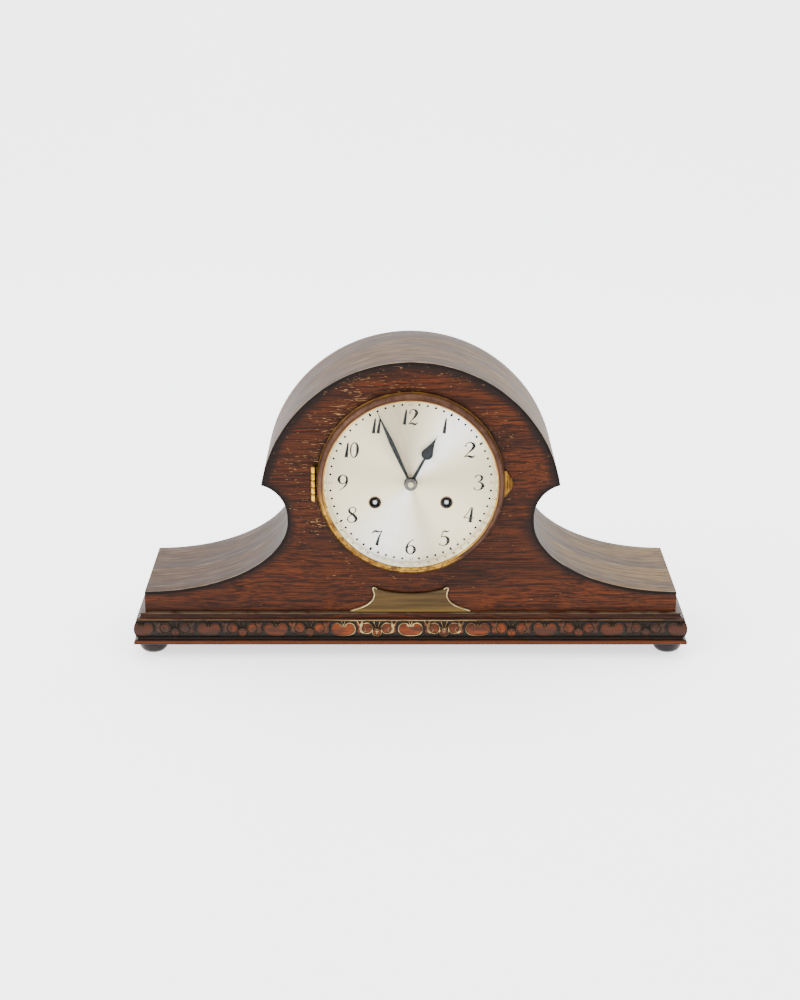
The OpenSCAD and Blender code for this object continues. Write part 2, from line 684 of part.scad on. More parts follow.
// Drum with its mainspring case, cap and great wheel, free to turn on the winding arbor
module barrel(p) {
  color(BRASS) difference() {
    union() {
      arbor(p, drum_y, great_y, BARREL_R - 2);
      wheel(p[0], p[1], great_y, great_y + great_t, BARREL_N, BARREL_M, TIME_PHASE, 0,
        wind_hole_r);
      arbor(p, drum_y - 0.6, drum_y, BARREL_R - 3.4);
    }
    arbor(p, drum_y - 2, great_y + great_t + 1, wind_hole_r);
    arbor(p, drum_y + 1.2, great_y - 1.2, BARREL_R - 3.2);
  }
}
module winding_arbor(p) {
  square_side = 3.4;
  color(STEEL) union() {
    arbor(p, in_front - 4.6, in_back + plate_t + 1.5, wind_arbor_r);
    translate([p[0], y_front + 3, p[1]])
      cube([square_side, 2 * (3 - 0.4), square_side], center = true);
    arbor(p, y_front + 5.2, in_front - 4.4, wind_arbor_r);
    slab_at(p[0], p[1], front_plate_y - 2, front_plate_y - 0.6) polygon(ratchet_points(24, 9, 1.3));
    arbor(p, drum_y + 3, great_y - 3, 6);
  }
}
function ratchet_points(n, r, depth) = [for (i = [0:n - 1]) for (k = [0, 1])
  (r - (k == 0 ? 0 : depth)) * [cos(360 * (i + k * 0.12) / n), sin(360 * (i + k * 0.12) / n)]];
module time_barrel() barrel(TIME_B);
module time_winding_arbor() winding_arbor(TIME_B);
module intermediate_wheel() {
  color(BRASS) wheel(I[0], I[1], inter_y, inter_y + 1.2, INTER_N, INTER_M, 0, 5, 1.8);
  color(STEEL) union() {
    pivoted_arbor(I, in_front, in_back, 1.8);
    pinion(I[0], I[1], great_y - 0.8, great_y + great_t + 0.8, BARREL_PINION_N, BARREL_M,
      INTER_PINION_PHASE);
  }
}
module centre_wheel() {
  color(BRASS) wheel(C[0], C[1], centre_y, centre_y + wheel_t, CENTRE_N, CENTRE_M, 0, 4, arbor_r);
  color(STEEL) union() {
    arbor(C, minute_hand_y - 0.9, in_back + plate_t, arbor_r);
    pinion(C[0], C[1], inter_y - 0.6, inter_y + 1.8, INTER_PINION_N, INTER_M, CENTRE_PINION_PHASE);
    arbor(C, minute_hand_y + hand_t, front_plate_y - 1, cannon_r);
    pinion(C[0], C[1], front_plate_y - 2.6, front_plate_y - 0.9, 15, MOTION_M, 0);
  }
}
module third_wheel() {
  color(BRASS) wheel(T[0], T[1], escape_y, escape_y + wheel_t, THIRD_N, THIRD_M, 0, 4, 1.3);
  color(STEEL) union() {
    pivoted_arbor(T, in_front, in_back, 1.05);
    arbor(T, in_front + 0.4, centre_y - 3, 1.3);
    pinion(T[0], T[1], centre_y - 0.8, centre_y + wheel_t + 0.8, LEAVES, CENTRE_M,
      THIRD_PINION_PHASE);
  }
}
escape_r = 13;
escape_wheel_y = in_back - 6;
module escape_wheel() {
  color(BRASS) slab_at(E[0], E[1], escape_wheel_y, escape_wheel_y + wheel_t) difference() {
    polygon([for (i = [0:ESCAPE_N - 1]) for (c = [[escape_r - 1.9, 0], [escape_r, 0.22],
      [escape_r, 0.32], [escape_r - 1.9, 0.6]])
        c[0] * [cos(360 * (i + c[1]) / ESCAPE_N), sin(360 * (i + c[1]) / ESCAPE_N)]]);
    circle(r = 1.3);
    difference() {
      circle(r = escape_r - 3.2);
      circle(r = 3);
      for (i = [0:3])
        rotate([0, 0, 90 * i])
          translate([0, -0.7, 0])
            square([escape_r, 1.4]);
    }
  }
  color(STEEL) union() {
    pivoted_arbor(E, in_front, in_back, 0.95);
    arbor(E, escape_y + 3, in_back - 0.4, 1.3);
    pinion(E[0], E[1], escape_y - 0.8, escape_y + wheel_t + 0.8, LEAVES, THIRD_M,
      ESCAPE_PINION_PHASE);
  }
}
// Anchor with its two pallets held just clear of the escape wheel, and the crutch behind
crutch_y = rear_plate_back + 1.2;
crutch_drop = 38;
anchor_reach = 12.4;
module anchor() {
  color(STEEL) union() {
    slab_at(A[0], A[1], escape_wheel_y - 0.6, escape_wheel_y + wheel_t + 0.6) difference() {
      polygon([[-anchor_reach, -8.6], [-anchor_reach + 1.7, -9.2], [-8, -3.4], [0, -1.8], [8, -3.4],
        [anchor_reach - 1.7, -9.2], [anchor_reach, -8.6], [9.4, -1.2], [0, 2.4], [-9.4, -1.2]]);
      circle(r = 0.9);
    }
    pivoted_arbor(A, in_front, in_back, 1.4);
    arbor(A, in_back, crutch_y + 1.2, pivot_r);
    slab_at(A[0], A[1], crutch_y, crutch_y + 1.2) translate([-1.1, -crutch_drop, 0])
      square([2.2, crutch_drop + 1.2]);
    for (s = [-1, 1])
      translate([s * 1.75, crutch_y + 0.6 + 3.4, A[1] - crutch_drop + 1.1])
        cube([1.3, 7.8, 2.2], center = true);
    translate([0, crutch_y + 0.6, A[1] - crutch_drop + 1.1]) cube([4.8, 1.2, 2.2], center = true);
  }
}

// ---- motion work ----

MINUTE_PHASE = meshed(0, 15, 45, -90);
HOUR_PHASE = meshed(0, 12, 48, 90);
hour_wheel_y = front_plate_y - 5;
module minute_wheel() {
  color(BRASS) wheel(M[0], M[1], front_plate_y - 2.4, front_plate_y - 1.2, 45, MOTION_M, MINUTE_PHASE,
    4, 1.6);
  color(STEEL) union() {
    arbor(M, front_plate_y - 5.6, front_plate_y - 0.5, 1.6);
    arbor(M, front_plate_y - 1, in_front, pivot_r);
    pinion(M[0], M[1], front_plate_y - 5.6, front_plate_y - 3, 12, MOTION_M, 0);
  }
}
module hour_wheel() {
  color(BRASS) difference() {
    union() {
      wheel(C[0], C[1], hour_wheel_y, hour_wheel_y + 1.2, 48, MOTION_M, HOUR_PHASE, 0, 2.6);
      arbor(C, hour_hand_y + 0.1, hour_wheel_y + 1.6, hour_pipe_r);
    }
    arbor(C, hour_hand_y - 1, hour_wheel_y + 3, cannon_r + pin_clearance);
  }
}

// ---- pendulum ----

pend_y = rear_plate_back + 8;
module suspension_bracket() {
  color(BRASS) union() {
    block([-7, rear_plate_back, A[1] + 1.6], [7, rear_plate_back + 1.4, A[1] + 6]);
    for (s = [-1, 1])
      block([s > 0 ? 1.1 : -4, rear_plate_back, A[1] + 1.6],
        [s > 0 ? 4 : -1.1, pend_y + 2, A[1] + 5.4]);
  }
}
module pendulum_rod() {
  low = A[1] - pendulum_len - bob_r - 8;
  color(STEEL) union() {
    block([-0.5, pend_y - 1.2, A[1] - 8], [0.5, pend_y + 1.2, A[1] + 5]);
    block([-2.6, pend_y - 1.4, A[1] - 12], [2.6, pend_y + 1.4, A[1] - 7]);
    post(0, pend_y, low, A[1] - 11, 0.95);
  }
}
module pendulum_bob() {
  z = A[1] - pendulum_len;
  half_t = 4.2;
  color(BRASS) difference() {
    translate([0, pend_y, z]) rotate([90, 30, 0]) rotate_extrude()
      polygon([[0, -half_t], [bob_r - 2.5, -half_t + 0.6], [bob_r, -1], [bob_r, 1],
        [bob_r - 2.5, half_t - 0.6], [0, half_t]]);
    post(0, pend_y, z - bob_r - 2, z + bob_r + 2, 0.95);
  }
}
module rating_nut() {
  z = A[1] - pendulum_len - bob_r;
  color(BRASS) difference() {
    post(0, pend_y, z - 5, z - 0.6, 4);
    post(0, pend_y, z - 6, z + 1, 0.95);
    for (i = [0:15])
      translate([4 * cos(22.5 * i), pend_y + 4 * sin(22.5 * i), z - 6]) cylinder(r = 0.35, h = 6);
  }
}

// ---- striking train ----

STRIKE_PINION_PHASE = meshed(TIME_PHASE, BARREL_N, BARREL_PINION_N, bearing(STRIKE_B, S));
LOCK_PINION_PHASE = meshed(0, STRIKE_N, STRIKE_LEAVES, bearing(S, L));
FLY_PINION_PHASE = meshed(0, LOCK_N, LEAVES, bearing(L, F));
module strike_barrel() barrel(STRIKE_B);
module strike_winding_arbor() winding_arbor(STRIKE_B);
// Radius of the ring of pins that lift the hammer's tail
pin_ring_r = 11.6;
module strike_wheel() {
  color(BRASS) wheel(S[0], S[1], centre_y, centre_y + 1.2, STRIKE_N, STRIKE_M, 0, 4, 1.8);
  color(STEEL) union() {
    pivoted_arbor(S, in_front, in_back, 1.8);
    pinion(S[0], S[1], great_y - 0.8, great_y + great_t + 0.8, BARREL_PINION_N, BARREL_M,
      STRIKE_PINION_PHASE);
  }
  color(STEEL) for (a = [22.5:45:360])
    rod(S[0] + pin_ring_r * cos(a), S[1] + pin_ring_r * sin(a), centre_y + 1.2, centre_y + 2.8, 0.6);
}
module locking_wheel() {
  color(BRASS) wheel(L[0], L[1], escape_y, escape_y + wheel_t, LOCK_N, LOCK_M, 0, 4, 1.4);
  color(STEEL) union() {
    pivoted_arbor(L, in_front, in_back, 1.2);
    arbor(L, in_front + 0.4, centre_y - 3, 1.4);
    pinion(L[0], L[1], centre_y - 0.6, centre_y + 1.8, STRIKE_LEAVES, STRIKE_M, LOCK_PINION_PHASE);
  }
}
module fly() {
  color(STEEL) union() {
    pivoted_arbor(F, in_front, in_back, 1);
    pinion(F[0], F[1], escape_y - 0.8, escape_y + wheel_t + 0.8, LEAVES, LOCK_M, FLY_PINION_PHASE);
    slab_at(F[0], F[1], escape_y + 5, escape_y + 15) translate([-9, -0.35, 0]) square([18, 0.7]);
    arbor(F, escape_y + 5, escape_y + 15, 1.6);
  }
}
// Hammer: its head hangs over the gong rods, clear of them until it is thrown
hammer_y = rear_plate_back + 10;
hammer_drop = 30;
hammer_r = 4.5;
rod_r = 1.6;
module hammer() {
  color(STEEL) union() {
    arbor(H, front_plate_y, in_back + plate_t, pivot_r);
    arbor(H, in_front + 0.4, in_back - 0.4, 1.5);
    arbor(H, rear_plate_back + 0.4, hammer_y + 1, 1.6);
    slab_at(H[0], H[1], hammer_y - 1, hammer_y + 1)
      polygon([[-1.2, 1.6], [1.2, 1.6], [1.2, hammer_r - hammer_drop], [-1.2, hammer_r - hammer_drop]]);
    slab_at(H[0], H[1], centre_y + 1.4, centre_y + 2.6) rotate([0, 0, bearing(H, S)])
      translate([0, -0.7, 0])
        square([norm(S - H) - pin_ring_r - 1.2, 1.4]);
  }
  color(BRASS) translate([H[0] - 6, hammer_y, H[1] - hammer_drop]) rotate([0, 90, 0])
    cylinder(r = hammer_r, h = 12);
}
gong_z = H[1] - hammer_drop - hammer_r - 1.8 - rod_r;
gong_x = -86;
GONG_YS = [-6, 0, 6];
module gong_block() {
  low = case_z + base_t;
  color("dimgray") difference() {
    union() {
      block([gong_x, hammer_y - 14, low], [gong_x + 16, hammer_y + 14, low + 6]);
      block([gong_x + 2, hammer_y - 11, low + 5], [gong_x + 14, hammer_y + 11, gong_z + 6]);
    }
    for (dy = GONG_YS)
      translate([gong_x + 6, hammer_y + dy, gong_z]) rotate([0, 90, 0]) cylinder(r = rod_r, h = 30);
  }
}
module gong_rods() {
  color(BRASS) for (i = [0:2])
    translate([gong_x + 6, hammer_y + GONG_YS[i], gong_z]) rotate([0, 90, 0])
      cylinder(r = rod_r, h = 140 - 12 * i);
}

front_panel();
hood_skin();
left_wing_skin();
right_wing_skin();
left_end_panel();
right_end_panel();
back_panel();
base_board();
glue_blocks();
plinth_board();
front_moulding();
side_mouldings();
plaque();
feet();
foot_screws();
back_door();
door_hinges_fixed();
door_hinges_moving();
door_hinge_pins();
door_knob();
bezel_ring();
bezel_glass();
sight_ring();
thumb_tab();
bezel_hinge_moving();
bezel_hinge_fixed();
bezel_hinge_pin();
dial_plate();
dial_pan();
dial_screws();
winding_eyelets();
minute_hand();
hour_hand();
hand_nut();
movement_front_plate();
movement_rear_plate();
plate_pillars();
movement_screws();
time_barrel();
time_winding_arbor();
intermediate_wheel();
centre_wheel();
third_wheel();
escape_wheel();
anchor();
minute_wheel();
hour_wheel();
suspension_bracket();
pendulum_rod();
pendulum_bob();
rating_nut();
strike_barrel();
strike_winding_arbor();
strike_wheel();
locking_wheel();
fly();
hammer();
gong_block();
gong_rods();
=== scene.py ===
"""Looks of the mantel clock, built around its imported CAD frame.

Shapes are in millimetres. Materials, lights and the stage are in metres.
"""

import math

import bmesh
import bpy
import numpy as np
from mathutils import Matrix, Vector


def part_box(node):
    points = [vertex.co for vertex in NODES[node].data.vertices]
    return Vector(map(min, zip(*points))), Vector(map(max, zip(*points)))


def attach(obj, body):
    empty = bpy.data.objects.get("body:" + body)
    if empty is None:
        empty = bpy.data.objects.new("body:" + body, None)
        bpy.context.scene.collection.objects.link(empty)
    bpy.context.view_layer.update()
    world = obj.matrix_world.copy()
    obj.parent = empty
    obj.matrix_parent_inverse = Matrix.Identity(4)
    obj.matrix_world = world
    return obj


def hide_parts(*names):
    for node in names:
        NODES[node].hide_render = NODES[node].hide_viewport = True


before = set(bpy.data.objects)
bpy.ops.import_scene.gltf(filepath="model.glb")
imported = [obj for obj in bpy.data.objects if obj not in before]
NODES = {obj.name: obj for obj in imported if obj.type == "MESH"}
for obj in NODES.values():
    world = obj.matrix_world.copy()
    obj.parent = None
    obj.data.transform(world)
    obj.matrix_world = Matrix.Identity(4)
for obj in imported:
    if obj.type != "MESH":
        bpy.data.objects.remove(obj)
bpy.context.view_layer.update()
MM = 0.001
SHARP_ANGLE = 35  # degrees


def box_mm(node):
    low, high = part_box(node)
    return np.array(low) / MM, np.array(high) / MM


def middle_mm(node):
    return sum(box_mm(node)) / 2


# ---- driving sizes, from the frame where it has them ----

PANEL_LOW, PANEL_HIGH = box_mm("front_panel")
Y_FRONT = PANEL_LOW[1]
Y_BACK = box_mm("back_panel")[1][1]
HALF_W = PANEL_HIGH[0]
CASE_Z = PANEL_LOW[2]
SKIN_T = 2.2
HOOD_R = 119.9
HOOD_Z = box_mm("hood_skin")[1][2] - HOOD_R
NOTCH_R, NOTCH_X, NOTCH_Z = 27.5, 125.3, 116.0
SWEEP_Z = 113.0
WING_Z = 53.4
SWEEP_A = HALF_W - (NOTCH_X - NOTCH_R)
SWEEP_B = SWEEP_Z - WING_Z
PLINTH_Z = box_mm("plinth_board")[0][2]
PLINTH_OUT = Y_FRONT - box_mm("front_moulding")[0][1]
DIAL_Z = middle_mm("dial_plate")[2]
BEZEL_R = (box_mm("bezel_ring")[1][0] - box_mm("bezel_ring")[0][0]) / 2
BEZEL_OUT = Y_FRONT - box_mm("bezel_ring")[0][1]
LIP_R = 68.3
WIND_X, _, WIND_Z = middle_mm("time_winding_arbor")
EYELET_R = box_mm("winding_eyelets")[1][0] - WIND_X
NUMERAL_R = 53.5
NUMERAL_H = 12.4
DOT_R = 63.7
DOT_HALF, HOUR_DOT_HALF = 0.95, 1.5
PRINT_LIFT = 0.02
MINUTE_LEN = 65.7
HOUR_LEN = 45.0
MINUTE_TURN = -6 * 56
HOUR_TURN = -56 / 2
LEAF_AT, LEAF_R, LEAF_POINT = 27.3, 4.6, 1.6
MINUTE_START, HOUR_START = 3, 4
MINUTE_WIDEST = 0.56
HAND_STEPS = 96
BAND_LOW, BAND_HIGH = 17.6, 31.6
BAND_OUT, BAND_BULGE = 7.2, 1.9
MOTIF_PITCH = 54.0
SECTION_IN = 8.0
CARVE_STEP_X, CARVE_STEP_Z = 0.3, 0.28
BEAD_R = 2.0
HINGE_STEP, HINGE_GAP = 5.76, 0.3
KNUCKLE_R, KNUCKLE_BORE, KNUCKLE_EDGE = 2.2, 0.85, 0.35
NUT_BORE, NUT_KNURLS, NUT_STEPS = 1.02, 24, 96
HINGE_SCREW_X = 8.5
PLAQUE_SIDE = [(48.8, 1.4), (40.0, 4.0), (30.2, 6.5), (29.6, 15.0)]
EAR_X, EAR_Z, EAR_R = 29.0, 19.6, 1.9


# ---- mesh helpers ----


def linked(name, data):
    obj = bpy.data.objects.new(name, data)
    bpy.context.scene.collection.objects.link(obj)
    return obj


def number_points(obj, name, values):
    """Gives each point of a piece a number that its material reads."""
    attribute = obj.data.attributes.new(name, "FLOAT", "POINT")
    attribute.data.foreach_set("value", values.astype(np.float32).ravel())


def add(name, verts, faces, material, body, slot=None, replaces=()):
    """Makes one piece from points in millimetres and puts it on its body."""
    mesh = bpy.data.meshes.new(name)
    mesh.from_pydata([tuple(float(c) * MM for c in v) for v in verts], [], [list(f) for f in faces])
    mesh.validate()
    obj = linked(name, mesh)
    b = bmesh.new()
    b.from_mesh(mesh)
    bmesh.ops.recalc_face_normals(b, faces=b.faces)
    b.to_mesh(mesh)
    b.free()
    for p in mesh.polygons:
        p.use_smooth = True
    mesh.set_sharp_from_angle(angle=math.radians(SHARP_ANGLE))
    for m in material if isinstance(material, (list, tuple)) else [material]:
        mesh.materials.append(m)
    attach(obj, body)
    if replaces:
        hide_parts(*replaces)
    return obj


def grid(points, close_rows=False, close_cols=False):
    """Verts and quads of a grid of points, as an array of rows, columns and coordinates."""
    rows, cols = points.shape[:2]
    faces = []
    for i in range(rows if close_rows else rows - 1):
        for j in range(cols if close_cols else cols - 1):
            i2, j2 = (i + 1) % rows, (j + 1) % cols
            faces.append((i * cols + j, i * cols + j2, i2 * cols + j2, i2 * cols + j))
    return points.reshape(-1, 3), faces


def revolved(profile, x, y, z, steps=128, axis="y"):
    """Grid of a profile of (radius, distance forward or up) turned about an axis through x, y, z."""
    turn = np.linspace(0, 2 * math.pi, steps, endpoint=False)
    rows = []
    for r, d in profile:
        if axis == "y":
            rows.append(np.stack([x + r * np.cos(turn), np.full(steps, y - d), z + r * np.sin(turn)], 1))
        else:
            rows.append(np.stack([x + r * np.cos(turn), y + r * np.sin(turn), np.full(steps, z + d)], 1))
    return np.array(rows)


def joined(*parts):
    """Several (verts, faces) as one."""
    verts, faces = [], []
    for v, f in parts:
        start = len(verts)
        verts.extend(list(map(tuple, v)))
        faces.extend([tuple(i + start for i in face) for face in f])
    return verts, faces


def spline(points, steps):
    """A Catmull-Rom curve through rows of numbers."""
    p = np.array(points, float)
    p = np.vstack([2 * p[0] - p[1], p, 2 * p[-1] - p[-2]])
    out = []
    for i in range(1, len(p) - 2):
        for t in np.linspace(0, 1, steps, endpoint=False):
            out.append(0.5 * ((2 * p[i]) + (p[i + 1] - p[i - 1]) * t
                              + (2 * p[i - 1] - 5 * p[i] + 4 * p[i + 1] - p[i + 2]) * t * t
                              + (3 * p[i] - p[i - 1] - 3 * p[i + 1] + p[i + 2]) * t ** 3))
    out.append(p[-2])
    return np.array(out)


# ---- outline of the case, as the CAD source has it ----


def tip(t):
    """Where the hood's circle meets the hollow's circle, both inset by t."""
    r1, r2 = HOOD_R - t, NOTCH_R + t
    dx, dz = NOTCH_X, NOTCH_Z - HOOD_Z
    d = math.hypot(dx, dz)
    a = (r1 * r1 - r2 * r2 + d * d) / (2 * d)
    h = math.sqrt(r1 * r1 - a * a)
    return a * dx / d - h * dz / d, HOOD_Z + a * dz / d + h * dx / d


def hood_arc(t, steps=160):
    x, z = tip(t)
    start = math.atan2(z - HOOD_Z, x)
    a = np.linspace(start, math.pi - start, steps + 1)
    return np.stack([(HOOD_R - t) * np.cos(a), HOOD_Z + (HOOD_R - t) * np.sin(a)], 1)


def wing_line(t, steps=96):
    """Right wing, from its outer end up to the hood's tip."""
    a = np.linspace(math.pi / 2, 0, steps + 1)
    n = np.stack([-np.cos(a) / SWEEP_A, -np.sin(a) / SWEEP_B], 1)
    n /= np.linalg.norm(n, axis=1)[:, None]
    sweep = np.stack([HALF_W - SWEEP_A * np.cos(a), SWEEP_Z - SWEEP_B * np.sin(a)], 1) + t * n
    x, z = tip(t)
    a = np.linspace(math.pi, math.atan2(z - NOTCH_Z, x - NOTCH_X), steps // 2 + 1)
    notch = np.stack([NOTCH_X + (NOTCH_R + t) * np.cos(a), NOTCH_Z + (NOTCH_R + t) * np.sin(a)], 1)
    return np.vstack([sweep, notch])


# ---- shader helpers ----


def srgb(r, g, b):
    """A colour named by its 0 to 255 display values, as the linear one that shaders take."""
    def linear(c):
        c /= 255
        return c / 12.92 if c <= 0.04045 else ((c + 0.055) / 1.055) ** 2.4
    return linear(r), linear(g), linear(b), 1.0


class Shade:
    """One node material. Sockets or numbers go in and a socket comes out."""

    def __init__(self, name, **constants):
        self.mat = bpy.data.materials.new(name)
        self.mat.use_nodes = True
        self.tree = self.mat.node_tree
        self.bsdf = self.tree.nodes["Principled BSDF"]
        for key, value in constants.items():
            self.bsdf.inputs[key.replace("_", " ")].default_value = value

    def link(self, socket, value):
        if isinstance(value, bpy.types.NodeSocket):
            self.tree.links.new(value, socket)
        else:
            socket.default_value = value

    def node(self, kind, out, settings=None, **inputs):
        n = self.tree.nodes.new(kind)
        for key, value in (settings or {}).items():
            setattr(n, key, value)
        for key, value in inputs.items():
            self.link(n.inputs[int(key[1:]) if key[0] == "_" else key.replace("_", " ")], value)
        return n.outputs[out]

    def maths(self, op, a, b=0.0):
        return self.node("ShaderNodeMath", 0, {"operation": op}, _0=a, _1=b)

    def times(self, a, b):
        return self.maths("MULTIPLY", a, b)

    def plus(self, a, b):
        return self.maths("ADD", a, b)

    def minus(self, a, b):
        return self.maths("SUBTRACT", a, b)

    def length(self, a, b):
        return self.maths("SQRT", self.plus(self.times(a, a), self.times(b, b)))

    def away(self, cx, cz):
        """Distance along the front from a point in millimetres, or from its mirror image."""
        x, _, z = self.xyz()
        return self.length(self.minus(self.maths("ABSOLUTE", x), cx * MM), self.minus(z, cz * MM))

    def place(self, *scale):
        """Position on the piece in metres, scaled by one number or by three."""
        where = self.node("ShaderNodeTexCoord", "Object")
        by = scale * 3 if len(scale) == 1 else scale
        return self.node("ShaderNodeMapping", 0, Vector=where, Scale=by)

    def xyz(self):
        where = self.node("ShaderNodeTexCoord", "Object")
        n = self.tree.nodes.new("ShaderNodeSeparateXYZ")
        self.tree.links.new(where, n.inputs[0])
        return n.outputs[0], n.outputs[1], n.outputs[2]

    def vector(self, x, y, z):
        return self.node("ShaderNodeCombineXYZ", 0, _0=x, _1=y, _2=z)

    def noise(self, at, scale=1.0, detail=2.0, rough=0.5):
        return self.node("ShaderNodeTexNoise", 0, Vector=at, Scale=scale, Detail=detail, Roughness=rough)

    def span(self, value, low, high, to_low=0.0, to_high=1.0):
        """Value from low..high to to_low..to_high, smoothed and held at the ends."""
        return self.node("ShaderNodeMapRange", 0, {"interpolation_type": "SMOOTHSTEP"},
                         _0=value, _1=low, _2=high, _3=to_low, _4=to_high)

    def mix(self, share, a, b):
        n = self.tree.nodes.new("ShaderNodeMix")
        n.data_type = "RGBA"
        self.link(n.inputs[0], share)
        self.link(n.inputs[6], a)
        self.link(n.inputs[7], b)
        return n.outputs[2]

    def attribute(self, name):
        return self.node("ShaderNodeAttribute", "Fac", {"attribute_name": name})

    def colour(self, value):
        self.link(self.bsdf.inputs["Base Color"], value)

    def rough(self, value, to_low, to_high, low=0.3, high=0.7):
        self.link(self.bsdf.inputs["Roughness"], self.span(value, low, high, to_low, to_high))

    def bump(self, height, strength, depth):
        """Bump of a height from 0 to 1, depth millimetres deep."""
        normal = self.node("ShaderNodeBump", 0, Strength=strength, Distance=depth * MM, Height=height)
        self.link(self.bsdf.inputs["Normal"], normal)


# ---- wood ----


def oak(name, tones, upright=False, flecks=0.0, edge=False, rough=0.42, streak=1.0, spec=0.14, plinth=False):
    """Fumed oak: wavy streaks along the grain, dark pore lines and, round the dial, pale limed pores."""
    dark, middle, light = tones
    s = Shade(name, Specular_IOR_Level=spec)
    x, y, z = s.xyz()
    g, u, v = (z, x, y) if upright else (x, y, z)
    drift = s.noise(s.vector(s.times(g, 11.0), s.times(u, 14.0), s.times(v, 20.0)), detail=1.0)
    shift = s.times(s.minus(drift, 0.5), 0.014)
    u2 = s.plus(u, shift)
    v2 = s.plus(v, shift)

    def stretched(a, b):
        return s.vector(s.times(g, a), s.times(u2, b), s.times(v2, b))

    broad = s.noise(stretched(5.0, 60.0), detail=3.0, rough=0.55)
    bands = s.noise(stretched(8.0, 300.0), detail=4.0, rough=0.6)
    lines = s.noise(stretched(16.0, 760.0), detail=3.0, rough=0.6)
    pores = s.noise(stretched(120.0, 1900.0), detail=1.0)
    fine = s.noise(stretched(30.0, 1300.0), detail=2.0, rough=0.6)
    colour = s.mix(s.span(broad, 0.32, 0.68, 0.2, 0.8), middle, light)
    colour = s.mix(s.span(bands, 0.54, 0.40, 0.0, 0.26 * streak), colour, dark)
    colour = s.mix(s.span(fine, 0.54, 0.40, 0.0, 0.72 * streak), colour, dark)
    line_mask = s.span(lines, 0.52, 0.40, 0.0, 0.66 * streak)
    near_black = (dark[0] * 0.45, dark[1] * 0.5, dark[2] * 0.6, 1.0)
    colour = s.mix(line_mask, colour, s.mix(0.5, dark, near_black))
    pore_mask = s.span(pores, 0.38, 0.30, 0.0, 0.75)
    colour = s.mix(pore_mask, colour, near_black)
    if edge:
        # stain darkened towards the outline, plus a painted shadow round the bezel
        colour = s.mix(edge_shade(s, x, z), colour, srgb(13, 8, 6))
    height = s.minus(1.0, s.maths("MAXIMUM", pore_mask, s.times(line_mask, 0.5)))
    if flecks:
        dashes = s.noise(stretched(170.0, 2300.0), detail=1.0)
        near = s.span(s.away(0, DIAL_Z), 0.128, 0.080)
        left = s.times(s.span(x, 0.045, -0.04, 0.5, 1.0), s.span(z, 0.070, 0.125, 0.55, 1.0))
        patch = s.span(s.noise(s.place(28, 28, 50), detail=2.0), 0.40, 0.58, 0.62, 1.0)
        many = s.times(s.times(near, left), patch)
        cut = s.minus(0.80, s.times(many, 0.172))
        fleck = s.times(s.span(s.minus(dashes, cut), 0.0, 0.035), flecks)
        colour = s.mix(fleck, colour, srgb(154, 118, 72))
    if plinth:
        colour = plinth_zones(s, z, colour)
    s.colour(colour)
    s.rough(lines, rough + 0.1, rough - 0.05)
    s.bump(height, 0.35, 0.1)
    return s.mat


def plinth_zones(s, z, colour):
    """Wear and painted shade of the plain mouldings: orange bottom bead with a painted shadow on its
    underside, painted shade in the black hollow and pale rubbed edges above.
    """
    wear = s.noise(s.place(70), detail=3.0)

    def between(low, high, soft=0.3):
        return s.times(s.span(z, (low - soft) * MM, low * MM), s.span(z, (high + soft) * MM, high * MM))

    colour = s.mix(s.times(between(PLINTH_Z + 2.0, PLINTH_Z + 3.2, 0.5), 0.6), colour, srgb(90, 41, 8))
    # painted shadow on the underside of the bottom bead
    colour = s.mix(s.times(s.span(z, (PLINTH_Z + 1.6) * MM, (PLINTH_Z + 0.9) * MM), 0.85), colour,
                   srgb(12, 8, 5))
    # painted shade in the recessed hollow under the carved band
    colour = s.mix(s.times(between(PLINTH_Z + 4.1, 17.3), 0.85), colour, srgb(17, 14, 10))
    rubbed = s.span(wear, 0.38, 0.60, 0.15, 0.9)
    colour = s.mix(s.times(between(31.8, 32.3, 0.15), rubbed), colour, srgb(84, 64, 36))
    return s.mix(s.times(between(36.2, 36.9, 0.2), rubbed), colour, srgb(70, 58, 42))


